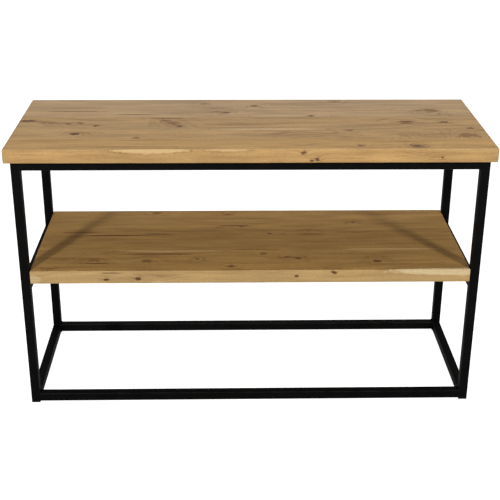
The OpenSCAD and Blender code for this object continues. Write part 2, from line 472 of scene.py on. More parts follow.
        shore = graph.math("MULTIPLY", graph.fade(given["Sap"], 0.0, 0.07), shore)
        layers = (
            (graph.math("MULTIPLY", given["Sap"], 0.9), pale),
            (graph.math("MULTIPLY", shore, 0.75), given["Stain"]),
            (graph.fade(lines, 0.35, 0.9, 0.0, 0.55), given["Stain"]),
            (graph.fade(given["Dark"], 0.0, 0.5, 0.0, 0.8), given["Stain"]),
            (graph.fade(given["Dark"], 0.45, 0.95, 0.0, 0.9), given["Knot"]),
            (graph.math("MULTIPLY", given["Pores"], 0.34), given["Knot"]),
        )
        for strength, over in layers:
            colour = graph.mix(strength, colour, over)
        end = graph.math("MULTIPLY", given["End"], 0.45)
        colour = graph.mix(end, colour, Effects.end_shade, "MULTIPLY")
        colour = graph.mix(graph.math("MULTIPLY", given["Wear"], 0.16), colour, given["Pale"])
        graph.feed(out.inputs["Color"], colour)
        rough = graph.fade(given["Wear"], 0.0, 1.0, 0.44, 0.34)
        rough = graph.math("MULTIPLY_ADD", given["Fibre"], 0.16, rough)
        graph.feed(out.inputs["Roughness"], graph.math("MULTIPLY_ADD", given["Pores"], 0.2, rough))
        relief = graph.math("MULTIPLY", given["Fibre"], 0.5)
        relief = graph.math("MULTIPLY_ADD", given["Pores"], -0.7, relief)
        relief = graph.math("MULTIPLY_ADD", given["Rings"], -0.3, relief)
        graph.feed(out.inputs["Height"], graph.math("MULTIPLY_ADD", given["Dark"], -0.9, relief))
        return graph.tree

    @staticmethod
    def _edge() -> NodeTree:
        """How near a place is to an edge of a box, and to one of its two ends along X.

        Returns:
            The group.
        """
        graph, given, out = new_group(
            "edge_wear",
            "ShaderNodeTree",
            {
                "Place": ("vector", None),
                "Middle": ("vector", None),
                "Half": ("vector", (1.0, 1.0, 1.0)),
                "Width": ("float", 3.0),
            },
            {"Wear": "float", "End": "float"},
        )
        away = graph.vector("ABSOLUTE", graph.vector("SUBTRACT", given["Place"], given["Middle"]))
        depth = graph.split(graph.vector("SUBTRACT", given["Half"], away))
        first = graph.math("MINIMUM", depth[0], graph.math("MINIMUM", depth[1], depth[2]))
        last = graph.math("MAXIMUM", depth[0], graph.math("MAXIMUM", depth[1], depth[2]))
        total = graph.math("ADD", depth[0], graph.math("ADD", depth[1], depth[2]))
        second = graph.math("SUBTRACT", total, graph.math("ADD", first, last))
        chips = graph.noise(graph.vector("SCALE", given["Place"], scale=0.09), 3.0)
        width = graph.math("MULTIPLY", given["Width"], graph.fade(chips, 0.3, 0.7))
        reach = graph.math("DIVIDE", second, width)
        graph.feed(out.inputs["Wear"], graph.fade(reach, 1.0, 0.0))
        graph.feed(out.inputs["End"], graph.fade(depth[0], 1.6, 0.5))
        return graph.tree

    @staticmethod
    def _grit() -> NodeTree:
        """Fine relief and uneven tone of a coat, a moulding or a plated part.

        Returns:
            The group.
        """
        graph, given, out = new_group(
            "fine_grit",
            "ShaderNodeTree",
            {
                "Place": ("vector", None),
                "Grain": ("float", 1.0),
                "Cloud": ("float", 40.0),
                "Low": ("float", 0.4),
                "High": ("float", 0.5),
            },
            {"Tone": "float", "Roughness": "float", "Height": "float", "Dust": "float"},
        )

        def sized(length: object, detail: float) -> NodeSocket:
            """Noise with lumps of that length in millimetres."""
            scale = graph.math("DIVIDE", 1.0, length)
            return graph.noise(graph.vector("SCALE", given["Place"], scale=scale), detail)

        cloud = sized(given["Cloud"], 3.0)
        peel = sized(given["Grain"], 2.0)
        waves = sized(graph.math("MULTIPLY", given["Grain"], 5.0), 1.0)
        specks = sized(graph.math("MULTIPLY", given["Grain"], 2.2), 0.0)
        span = graph.math("SUBTRACT", given["High"], given["Low"])
        graph.feed(out.inputs["Tone"], cloud)
        graph.feed(out.inputs["Roughness"], graph.math("MULTIPLY_ADD", cloud, span, given["Low"]))
        graph.feed(out.inputs["Height"], graph.math("MULTIPLY_ADD", waves, 0.8, peel))
        graph.feed(out.inputs["Dust"], graph.math("MULTIPLY", graph.fade(specks, 0.7, 0.8), cloud))
        return graph.tree


# ---- Finishes ----


def start_material(name: str) -> tuple[Material, Graph, Node, NodeSocket]:
    """Starts a material.

    Args:
        name: The material's name.

    Returns:
        The material, its graph, its shader node, and the place on the piece in millimetres.
    """
    material = bpy.data.materials.new(name)
    material.use_nodes = True
    material.node_tree.nodes.clear()
    graph = Graph(material.node_tree)
    shader = graph.add("ShaderNodeBsdfPrincipled")
    graph.add("ShaderNodeOutputMaterial", {"Surface": shader.outputs[0]})
    place = graph.vector("SCALE", graph.add("ShaderNodeTexCoord").outputs["Object"], scale=1 / MM)
    return material, graph, shader, place


def add_bump(graph: Graph, shader: Node, height: object, depth: float, strength: float) -> None:
    """Feeds a relief of that depth in metres to a shader's normal."""
    inputs = {"Height": height, "Distance": depth, "Strength": strength}
    graph.feed(shader.inputs["Normal"], graph.add("ShaderNodeBump", inputs).outputs[0])


@dataclass(frozen=True)
class Mark:
    """A knot, streak or patch: the centre and reach of an ellipsoid in millimetres, and how it shows."""

    centre: Triple
    reach: Triple
    swell: float = 0.0
    strength: float = 1.0
    soft: float = 0.8
    ragged: float = 2.4

    def inputs(self) -> dict[str, object]:
        """Values for the group that draws the mark, by name."""
        return {name.title(): value for name, value in vars(self).items()}


def knot(x: float, y: float, z: float, size: float, swell: float = 2.0, strength: float = 1.0) -> Mark:
    """Returns a knot that runs down through a board, size being half its length along the grain."""
    return Mark((x, y, z), (size * 1.3, size, 26.0), swell * size * 0.7, strength, 0.6, 2.6)


def sapwood(
    x: float, y: float, z: float, reach: Triple, strength: float = 1.0, soft: float = 0.3
) -> Mark:
    """Returns a pale patch with a smooth, wandering border."""
    return Mark((x, y, z), reach, 3.0, strength, soft, 0.55)


def streak(
    x: float, y: float, z: float, length: float, width: float = 5.0, strength: float = 0.5
) -> Mark:
    """Returns a dark streak along the grain, length and width being half of its own."""
    return Mark((x, y, z), (length, width, 12.0), 0.0, 1.25 * strength, 0.45, 1.0)


def edge_knot(x: float, y: float, z: float, size: float) -> Mark:
    """Returns a knot that runs back from a board's front edge."""
    return Mark((x, y, z), (size * 1.3, 30.0, size * 0.85), size * 0.8, 0.9, 0.6, 2.2)


@dataclass(frozen=True)
class WoodFinish:
    """Oiled wood of one board.

    pith is the drift along X, then the Y and Z of the tree's middle; the other sizes are millimetres too.
    """

    # Scale of the board's colours: tone that differs from board to board. The shelf boards' low values are
    # also painted shade under the top, and the rear top boards' high values are partly painted reflection.
    tone: float
    pith: Triple
    ring: float
    seed: float
    dark: tuple[Mark, ...] = ()
    sap: tuple[Mark, ...] = ()
    # Share of grey mixed into the board's colours on every face. On the top boards it is a painted
    # reflection of the bright surroundings, rising towards the rear. Below nought, on the shelf boards, it
    # gives richer colour as painted shade under the top.
    grey: float = 0.0
    wave: float = 8.0
    sheen: float = 0.4
    worn_width: float = 4.0
    relief: float = 0.12
    early: Colour = (0.610, 0.366, 0.128)
    late: Colour = (0.335, 0.180, 0.058)
    pale: Colour = (0.700, 0.480, 0.225)
    stain: Colour = (0.235, 0.120, 0.043)
    core: Colour = (0.095, 0.043, 0.016)

    def tinted(self, colour: Colour) -> Colour:
        """Returns a colour scaled by this board's tone and greyed by its share of grey: above nought as a
        painted reflection, below nought richer as painted shade.
        """
        middle = sum(colour) / 3
        return tuple(self.tone * (c * (1 - self.grey) + middle * self.grey) for c in colour)

    def material(self, name: str, effects: Effects, low: Vector, high: Vector) -> Material:
        """Builds the material.

        Args:
            name: Its name.
            effects: The shared effects.
            low: Lowest corner of the whole panel that the board belongs to.
            high: Its highest corner.

        Returns:
            The material.
        """
        material, graph, shader, place = start_material(name)
        bare = {"Place": place, "Bend": 0.0, "Mask": 0.0, "Near": 0.0}
        dark = self._marked(graph, effects, self.dark, bare)
        sap = self._marked(graph, effects, self.sap, dark | {"Mask": 0.0, "Near": 0.0})
        figure = effects.place(
            graph,
            effects.figure,
            {
                "Place": place,
                "Pith": self.pith,
                "Ring": self.ring,
                "Bend": sap["Bend"],
                "Near": dark["Near"],
                "Seed": self.seed,
                "Wave": self.wave,
            },
        )
        edge = effects.place(
            graph,
            effects.edge,
            {
                "Place": place,
                "Middle": (low + high) / 2 / MM,
                "Half": (high - low) / 2 / MM,
                "Width": self.worn_width,
            },
        )
        timber = effects.place(
            graph,
            effects.timber,
            {
                "Early": self.tinted(self.early),
                "Late": self.tinted(self.late),
                "Pale": self.tinted(self.pale),
                "Knot": self.core,
                "Stain": self.stain,
                "Dark": dark["Mask"],
                "Sap": sap["Mask"],
                "End": edge.outputs["End"],
                "Wear": edge.outputs["Wear"],
                **{output.name: output for output in figure.outputs},
            },
        )
        graph.feed(shader.inputs["Base Color"], timber.outputs["Color"])
        graph.feed(shader.inputs["Roughness"], timber.outputs["Roughness"])
        shader.inputs["Specular IOR Level"].default_value = self.sheen
        add_bump(graph, shader, timber.outputs["Height"], self.relief * MM, 0.6)
        return material

    @staticmethod
    def _marked(
        graph: Graph, effects: Effects, marks: Iterable[Mark], given: dict[str, object]
    ) -> dict[str, object]:
        """Adds marks, one on top of another.

        Args:
            graph: The material's graph.
            effects: The shared effects.
            marks: The marks.
            given: The place, and the bend, mask and nearness before the first mark, by name.

        Returns:
            The same after the last mark.
        """
        for mark in marks:
            outputs = effects.place(graph, effects.mark, given | mark.inputs()).outputs
            given = given | {output.name: output for output in outputs}
        return given


@dataclass(frozen=True)
class GritFinish:
    """A coated, moulded or plated surface with a fine relief; grain, cloud and relief are millimetres."""

    name: str
    base: Colour
    light: Colour
    # Colour of dust, and of the tube corners, where it is edge wear and partly a painted highlight.
    worn: Colour
    grain: float
    cloud: float
    rough: Pair
    relief: float
    metallic: float = 0.0
    specular: float = 0.5

    def material(self, effects: Effects) -> Material:
        """Builds the material.

        Args:
            effects: The shared effects.

        Returns:
            The material.
        """
        material, graph, shader, place = start_material(self.name)
        grit = effects.place(
            graph,
            effects.grit,
            {
                "Place": place,
                "Grain": self.grain,
                "Cloud": self.cloud,
                "Low": self.rough[0],
                "High": self.rough[1],
            },
        )
        arris = graph.add("ShaderNodeAttribute", attribute_name=ARRIS).outputs["Fac"]
        # Near the rounded tube corners the colour goes towards the light wear colour. This is edge wear,
        # and partly a painted highlight so that the edges read as lighter lines.
        arris_wear_and_highlight = graph.math("MULTIPLY", arris, graph.fade(grit.outputs["Tone"], 0.35, 0.65, 0.25, 1.0))
        colour = graph.mix(graph.fade(grit.outputs["Tone"], 0.3, 0.7), self.base, self.light)
        colour = graph.mix(arris_wear_and_highlight, colour, self.worn)
        colour = graph.mix(graph.math("MULTIPLY", grit.outputs["Dust"], 0.4), colour, self.worn)
        graph.feed(shader.inputs["Base Color"], colour)
        smooth = graph.math("MULTIPLY_ADD", arris_wear_and_highlight, -0.06, grit.outputs["Roughness"])
        graph.feed(shader.inputs["Roughness"], smooth)
        shader.inputs["Metallic"].default_value = self.metallic
        shader.inputs["Specular IOR Level"].default_value = self.specular
        add_bump(graph, shader, grit.outputs["Height"], self.relief * MM, 0.5)
        return material


POWDER_COAT = GritFinish(
    name="black_powder_coat",
    base=(0.0016, 0.0015, 0.0014),
    light=(0.0028, 0.0026, 0.0025),
    # Wear, dust, and the painted highlight along the tube corners.
    worn=(0.011, 0.0105, 0.010),
    grain=0.9,
    cloud=45.0,
    rough=(0.34, 0.52),
    relief=0.05,
    specular=0.075,
)
MOULDED_PLASTIC = GritFinish(
    name="black_moulded_plastic",
    base=(0.007, 0.007, 0.007),
    light=(0.011, 0.011, 0.011),
    worn=(0.03, 0.03, 0.03),
    grain=0.5,
    cloud=12.0,
    rough=(0.42, 0.6),
    relief=0.03,
    specular=0.3,
)
ZINC_PLATE = GritFinish(
    name="bright_zinc_plate",
    base=(0.55, 0.56, 0.56),
    light=(0.70, 0.69, 0.64),
    worn=(0.42, 0.41, 0.39),
    grain=0.4,
    cloud=6.0,
    rough=(0.24, 0.42),
    relief=0.02,
    metallic=1.0,
)


# ---- Meshes ----


def make_object(name: str, points: Sequence, faces: Sequence, edges: Sequence = ()) -> Object:
    """Makes a mesh object at the origin.

    Args:
        name: The object's name.
        points: Its vertices, in metres.
        faces: Its faces, as lists of vertex numbers.
        edges: Its loose edges.

    Returns:
        The object, linked to the scene.
    """
    mesh = bpy.data.meshes.new(name)
    mesh.from_pydata([tuple(map(float, p)) for p in points], list(edges), list(faces))
    mesh.update()
    made = bpy.data.objects.new(name, mesh)
    bpy.context.scene.collection.objects.link(made)
    return made


def tidy_mesh(mesh: Mesh, sharp: float = SHARP_ANGLE) -> None:
    """Merges doubled points, turns faces outwards, and shades all but the sharp edges smooth.

    Args:
        mesh: The mesh.
        sharp: Edges that turn by more than this angle stay crisp.
    """
    work = bmesh.new()
    work.from_mesh(mesh)
    bmesh.ops.remove_doubles(work, verts=work.verts, dist=WELD_DISTANCE)
    bmesh.ops.recalc_face_normals(work, faces=work.faces)
    work.to_mesh(mesh)
    work.free()
    mesh.shade_smooth()
    mesh.set_sharp_from_angle(angle=sharp)


def settle(name: str, source: Object, sharp: float = SHARP_ANGLE) -> Object:
    """Turns an object with modifiers into a finished piece with a plain mesh.

    Args:
        name: The piece's name.
        source: The object, which is removed.
        sharp: Edges that turn by more than this angle stay crisp.

    Returns:
        The piece.
    """
    depsgraph = bpy.context.evaluated_depsgraph_get()
    mesh = bpy.data.meshes.new_from_object(source.evaluated_get(depsgraph), depsgraph=depsgraph)
    bpy.data.objects.remove(source)
    finishes = [m for m in mesh.materials if m is not None]
    mesh.materials.clear()
    for finish in finishes[:1]:
        mesh.materials.append(finish)
    mesh.polygons.foreach_set("material_index", [0] * len(mesh.polygons))
    tidy_mesh(mesh, sharp)
    mesh.name = name
    piece = bpy.data.objects.new(name, mesh)
    bpy.context.scene.collection.objects.link(piece)
    return piece


def add_tree(target: Object, tree: NodeTree, values: dict[str, object]) -> None:
    """Puts a geometry tree on an object, its inputs set by their identifiers.

    Args:
        target: The object.
        tree: The tree.
        values: Value of each input, by its name.
    """
    modifier = target.modifiers.new(tree.name, "NODES")
    modifier.node_group = tree
    sockets = {i.name: i.identifier for i in tree.interface.items_tree if i.in_out == "INPUT"}
    for name, value in values.items():
        modifier[sockets[name]] = value


def cut(target: Object, cutter: Object) -> None:
    """Adds a modifier that takes one object out of another.

    Args:
        target: The object that is cut.
        cutter: The object that is taken out of it.
    """
    modifier = target.modifiers.new("cut", "BOOLEAN")
    modifier.operation = "DIFFERENCE"
    modifier.solver = "EXACT"
    modifier.object = cutter


def ring_faces(rings: int, count: int, closed: bool = False) -> list[tuple[int, ...]]:
    """Finds the faces of a solid that is drawn through rings of points.

    Args:
        rings: Number of rings.
        count: Number of points in each.
        closed: Whether the last ring is joined to the first; if not, both get a cap.

    Returns:
        The faces, as point numbers.
    """
    faces = []
    for a in range(rings if closed else rings - 1):
        b = (a + 1) % rings
        for i in range(count):
            j = (i + 1) % count
            faces.append((a * count + i, a * count + j, b * count + j, b * count + i))
    if not closed:
        faces.append(tuple(range(count))[::-1])
        faces.append(tuple(range((rings - 1) * count, rings * count)))
    return faces


def loft(name: str, rings: Sequence[Sequence[Triple]], closed: bool = False) -> Object:
    """Makes a solid through rings of points.

    Args:
        name: The object's name.
        rings: The rings, which have the same number of points.
        closed: Whether the last ring is joined to the first; if not, both get a flat cap.

    Returns:
        The solid.
    """
    points = [point for ring in rings for point in ring]
    return make_object(name, points, ring_faces(len(rings), len(rings[0]), closed))


def circle(radius: float, height: float, count: int, middle: Sequence[float] = (0, 0)) -> list[Triple]:
    """Finds the points of a circle that lies flat.

    Args:
        radius: Its radius.
        height: Its height.
        count: Number of points.
        middle: X and Y of its middle.

    Returns:
        The points.
    """
    x, y = middle[0], middle[1]
    turns = [2 * math.pi * i / count for i in range(count)]
    return [(x + radius * math.cos(a), y + radius * math.sin(a), height) for a in turns]


def quarter_arc(x: float, y: float, radius: float, quarter: int, steps: int) -> list[Pair]:
    """Finds the points that round off one corner of a rectangle.

    Args:
        x: First coordinate of the corner.
        y: Its second coordinate.
        radius: Radius of the arc.
        quarter: Which corner it is, from 0 where both coordinates are high, and on round the middle.
        steps: Number of sides of the arc.

    Returns:
        The points.
    """
    x -= radius if quarter in (0, 3) else -radius
    y -= radius if quarter in (0, 1) else -radius
    turns = [math.pi / 2 * (quarter + step / steps) for step in range(steps + 1)]
    return [(x + radius * math.cos(a), y + radius * math.sin(a)) for a in turns]


def rounded_square(half_x: float, half_y: float, radius: float, z: float, steps: int = 5) -> list[Triple]:
    """Finds the points of a rectangle with rounded corners, round the Z axis.

    Args:
        half_x: Half of its length along X.
        half_y: Half of its length along Y.
        radius: Radius of its corners.
        z: Its height.
        steps: Number of sides of each corner.

    Returns:
        The points.
    """
    corners = ((half_x, half_y), (-half_x, half_y), (-half_x, -half_y), (half_x, -half_y))
    arcs = [quarter_arc(x, y, radius, quarter, steps) for quarter, (x, y) in enumerate(corners)]
    return [(x, y, z) for arc in arcs for x, y in arc]


def solid_places(node: str, reach: float = 0.02) -> list[Vector]:
    """Finds the solids of a node that stand well apart.

    Args:
        node: The CAD node.
        reach: Points nearer to a solid's first point than this belong to it.

    Returns:
        The middle of each solid's box in X and Y, at the height of its lowest point.
    """
    groups: list[list[Vector]] = []
    for vertex in frame["nodes"][node].data.vertices:
        home = next((g for g in groups if (g[0] - vertex.co).xy.length < reach), None)
        if home is None:
            groups.append([vertex.co.copy()])
        else:
            home.append(vertex.co.copy())
    places = []
    for group in groups:
        low = Vector(map(min, zip(*group)))
        high = Vector(map(max, zip(*group)))
        places.append(Vector(((low.x + high.x) / 2, (low.y + high.y) / 2, low.z)))
    return sorted(places, key=lambda p: (round(p.x, 4), round(p.y, 4)))


# ---- Sub-assemblies ----


class Assembly(ABC):
    """A group of pieces that is built and dressed together."""

    @abstractmethod
    def build(self) -> None:
        """Builds, dresses and hands over every piece."""

    @staticmethod
    def hand_over(piece: Object, nodes: Iterable[str], slot: Slot) -> None:
        """Hides the nodes that a finished piece replaces, gives the piece its body, and reports it.

        Args:
            piece: The finished piece.
            nodes: The CAD nodes that it replaces.
            slot: Not used.
        """
        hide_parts(*nodes)
        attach(piece, BODY)
        LOG.info("%s: %d faces", piece.name, len(piece.data.polygons))


@dataclass
class Panel(Assembly):
    """Boards glued edge to edge, with eased outer edges and a fine groove along every glue line."""

    name: str
    slot: Slot
    finishes: Sequence[WoodFinish]
    screws: str
    effects: Effects
    edge: float = 2.5 * MM
    groove: float = 0.18 * MM
    hole: float = 2.6 * MM
    hole_depth: float = 27 * MM
    station: float = 9 * MM
    lane: float = 6 * MM
    relief: float = 0.07 * MM
    unevenness: float = 0.22
    corner_steps: int = 5
    hole_sides: int = 24

    def build(self) -> None:
        """Builds every board of the panel."""
        nodes = [f"{self.name}_board_{i + 1}" for i in range(len(self.finishes))]
        boxes = [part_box(node) for node in nodes]
        low = Vector(map(min, zip(*(b[0] for b in boxes))))
        high = Vector(map(max, zip(*(b[1] for b in boxes))))
        for number, (node, box, finish) in enumerate(zip(nodes, boxes, self.finishes)):
            front = self.edge if number == 0 else self.groove
            rear = self.edge if number == len(nodes) - 1 else self.groove
            board = self._board(node, box, front, rear, finish.seed)
            cutter = self._pilot_holes(box)
            if cutter is not None:
                cut(board, cutter)
            piece = settle(f"{node}_wood", board)
            if cutter is not None:
                bpy.data.objects.remove(cutter)
            piece.data.materials.clear()
            piece.data.materials.append(finish.material(f"oiled_{node}", self.effects, low, high))
            self.hand_over(piece, [node], self.slot)

    def _stations(self, half: float) -> list[Pair]:
        """Finds where a board's sections are drawn.

        Args:
            half: Half of the board's length.

        Returns:
            Their places along X from the middle, with how far the board is drawn in to round its ends.
        """
        turns = [math.pi / 2 * i / self.corner_steps for i in range(self.corner_steps + 1)]
        rounding = [(half - self.edge * (1 - math.sin(a)), self.edge * (1 - math.cos(a))) for a in turns]
        count = math.ceil(2 * (half - self.edge) / self.station)
        inner = np.linspace(self.edge - half, half - self.edge, count + 1)[1:-1]
        return [(-x, d) for x, d in rounding[::-1]] + [(float(x), 0.0) for x in inner] + rounding

    def _section(self, box: Box, front: float, rear: float, drawn_in: float, wave: float) -> list[Pair]:
        """Finds the points round a board at one station.

        Args:
            box: Lowest and highest corner of the board.
            front: Radius of its front edges.
            rear: Radius of its rear edges.
            drawn_in: How far the section is drawn in there.
            wave: Share by which the radius of the eased edges grows there.

        Returns:
            Their Y and Z.
        """
        low, high = box
        y0 = low.y + (drawn_in if front == self.edge else 0.0)
        y1 = high.y - (drawn_in if rear == self.edge else 0.0)
        z0, z1 = low.z + drawn_in, high.z - drawn_in
        arcs = []
        corners = ((y1, z1, rear), (y0, z1, front), (y0, z0, front), (y1, z0, rear))
        for quarter, (y, z, size) in enumerate(corners):
            eased = size == self.edge
            radius = max(size * (1 + wave) - drawn_in, self.groove) if eased else size
            arcs.append(quarter_arc(y, z, radius, quarter, self.corner_steps if eased else 1))
        lanes = [max(2, round(side / self.lane)) for side in (high.y - low.y, high.z - low.z)]
        points: list[Pair] = []
        for quarter, arc in enumerate(arcs):
            (y, z), (next_y, next_z) = arc[-1], arcs[(quarter + 1) % len(arcs)][0]
            count = lanes[quarter % 2]
            shares = [i / count for i in range(1, count)]
            points += arc + [(y + (next_y - y) * s, z + (next_z - z) * s) for s in shares]
        return points

    def _board(self, name: str, box: Box, front: float, rear: float, seed: float) -> Object:
        """Makes one board as a loft along X, its faces slightly uneven as planed wood is.

        Args:
            name: Its name.
            box: Its lowest and highest corner.
            front: Radius of its front edges.
            rear: Radius of its rear edges.
            seed: Seed of its unevenness.

        Returns:
            The board, without its holes.
        """
        low, high = box
        generator = np.random.default_rng(int(seed * 100) + 7)
        phases = generator.uniform(0, 2 * math.pi, 6)
        rings = []
        for x, drawn_in in self._stations((high.x - low.x) / 2):
            wave = math.sin(x * 23 + phases[0]) + math.sin(x * 61 + phases[1])
            ring = []
            for y, z in self._section(box, front, rear, drawn_in, self.unevenness * (0.5 + 0.25 * wave)):
                swell = math.sin(x * 17 + phases[2]) + math.sin(y * 90 + phases[3])
                swell += math.sin(x * 47 + y * 55 + phases[4]) * 0.5
                swell += math.sin(x * 29 - y * 120 + phases[5]) * 0.5
                side = 1 if z > (low.z + high.z) / 2 else -1
                ring.append((x, y, z - side * self.relief * (0.5 + swell / 6)))
            rings.append(ring)
        return loft(name, rings)

    def _pilot_holes(self, box: Box) -> Object | None:
        """Makes the pins that cut a board's pilot holes.

        Args:
            box: Lowest and highest corner of the board.

        Returns:
            The pins as one object, or None where the board has no screw.
        """
        low, high = box
        points: list[Triple] = []
        faces: list[tuple[int, ...]] = []
        for place in solid_places(self.screws):
            if not low.y - self.hole < place.y < high.y + self.hole:
                continue
            base = len(points)
            for z in (low.z - self.hole, low.z + self.hole_depth):
                points += circle(self.hole, z, self.hole_sides, place)
            faces += [tuple(base + v for v in face) for face in ring_faces(2, self.hole_sides)]
        return make_object("pilot_pins", points, faces) if points else None


def tube_tree() -> NodeTree:
    """Builds the tree that makes a square tube along Z and puts it in its place.

    Returns:
        The tree.
    """
    graph, given, out = new_group(
        "square_tube",
        "GeometryNodeTree",
        {
            "Length": ("float", 1.0),
            "Side": ("float", 0.025),
            "Wall": ("float", 0.0015),
            "Corner Radius": ("float", 0.0025),
            "Corner Steps": ("int", 6),
            "Turn": ("vector", None),
            "Middle": ("vector", None),
            "Finish": ("material", None),
        },
        {"Geometry": "geometry"},
    )

    def outline(side: object, radius: object) -> NodeSocket:
        """Draws a square with rounded corners.

        Args:
            side: Length of its sides.
            radius: Radius of its corners.

        Returns:
            The curve.
        """
        square = graph.add("GeometryNodeCurvePrimitiveQuadrilateral", {"Width": side, "Height": side})
        inputs = {"Curve": square.outputs[0], "Count": given["Corner Steps"], "Radius": radius}
        return graph.add("GeometryNodeFilletCurve", inputs, mode="POLY").outputs[0]

    bore = graph.math("MULTIPLY_ADD", given["Wall"], -2.0, given["Side"])
    bore_radius = graph.math("SUBTRACT", given["Corner Radius"], given["Wall"])
    curves = graph.gather(outline(given["Side"], given["Corner Radius"]), outline(bore, bore_radius))
    flat = graph.add("GeometryNodeFillCurve", {"Curve": curves}, mode="TRIANGLES").outputs[0]
    whole = graph.thicken(flat, given["Length"])
    x, y, _ = graph.split(graph.add("GeometryNodeInputPosition").outputs[0])
    near = graph.math("MINIMUM", graph.math("ABSOLUTE", x), graph.math("ABSOLUTE", y))
    share = graph.math("DIVIDE", near, graph.math("MULTIPLY", given["Side"], 0.5))
    # Marks the rounded corners, which the coat paints lighter: edge wear, and partly a painted highlight.
    inputs = {"Geometry": whole, "Name": ARRIS, "Value": graph.fade(share, 0.8, 0.93)}
    stored = graph.add("GeometryNodeStoreNamedAttribute", inputs, data_type="FLOAT").outputs[0]
    middle = graph.join(0.0, 0.0, graph.math("MULTIPLY", given["Length"], -0.5))
    inputs = {"Geometry": stored, "Translation": middle}
    centred = graph.add("GeometryNodeTransform", inputs).outputs[0]
    inputs = {"Geometry": centred, "Translation": given["Middle"], "Rotation": given["Turn"]}
    placed = graph.add("GeometryNodeTransform", inputs).outputs[0]
    return graph.close(out, placed, given["Finish"])


@dataclass
class TubeFrame(Assembly):
    """The legs and rails of square tube."""

    coat: Material
    wall: float = 1.5 * MM
    corner: float = 2.5 * MM
    corner_steps: int = 6

    def runs(self) -> dict[str, Axis]:
        """Lists the tubes.

        Returns:
            The axis that each tube runs along, by its name.
        """
        found = {f"leg_{corner}": Axis.Z for corner in CORNERS}
        for level in ("top", "base"):
            found |= {f"{level}_rail_{end}": Axis.X for end in ("front", "rear")}
        for level in ("top", "shelf", "base"):
            found |= {f"{level}_rail_{side}": Axis.Y for side in ("left", "right")}
        return found

    def build(self) -> None:
        """Builds every tube."""
        tree = tube_tree()
        for node, axis in self.runs().items():
            low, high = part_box(node)
            size = high - low
            side = min(size)
            blank = make_object(f"{node}_blank", [], [])
            add_tree(
                blank,
                tree,
                {
                    "Length": size[axis.index],
                    "Side": side,
                    "Wall": self.wall,
                    "Corner Radius": self.corner,
                    "Corner Steps": self.corner_steps,
                    "Turn": axis.turn,
                    "Middle": tuple((low + high) / 2),
                    "Finish": self.coat,
                },
            )
            self.hand_over(settle(f"{node}_tube", blank), [node], Slot.FRAME)


def plate_tree() -> NodeTree:
    """Builds the tree that turns outlines drawn as loose edges into a flat plate with its holes.

    Returns:
        The tree.
    """
    graph, given, out = new_group(
        "cut_plate",
        "GeometryNodeTree",
        {
            "Outlines": ("geometry", None),
            "Height": ("float", 0.0),
            "Thickness": ("float", 0.003),
            "Finish": ("material", None),
        },
        {"Geometry": "geometry"},
    )
    curves = graph.add("GeometryNodeMeshToCurve", {"Mesh": given["Outlines"]}).outputs[0]
    sheet = graph.add("GeometryNodeFillCurve", {"Curve": curves}, mode="TRIANGLES").outputs[0]
    rise = graph.join(0.0, 0.0, given["Height"])
    flat = graph.add("GeometryNodeTransform", {"Geometry": sheet, "Translation": rise}).outputs[0]
    return graph.close(out, graph.thicken(flat, given["Thickness"]), given["Finish"])


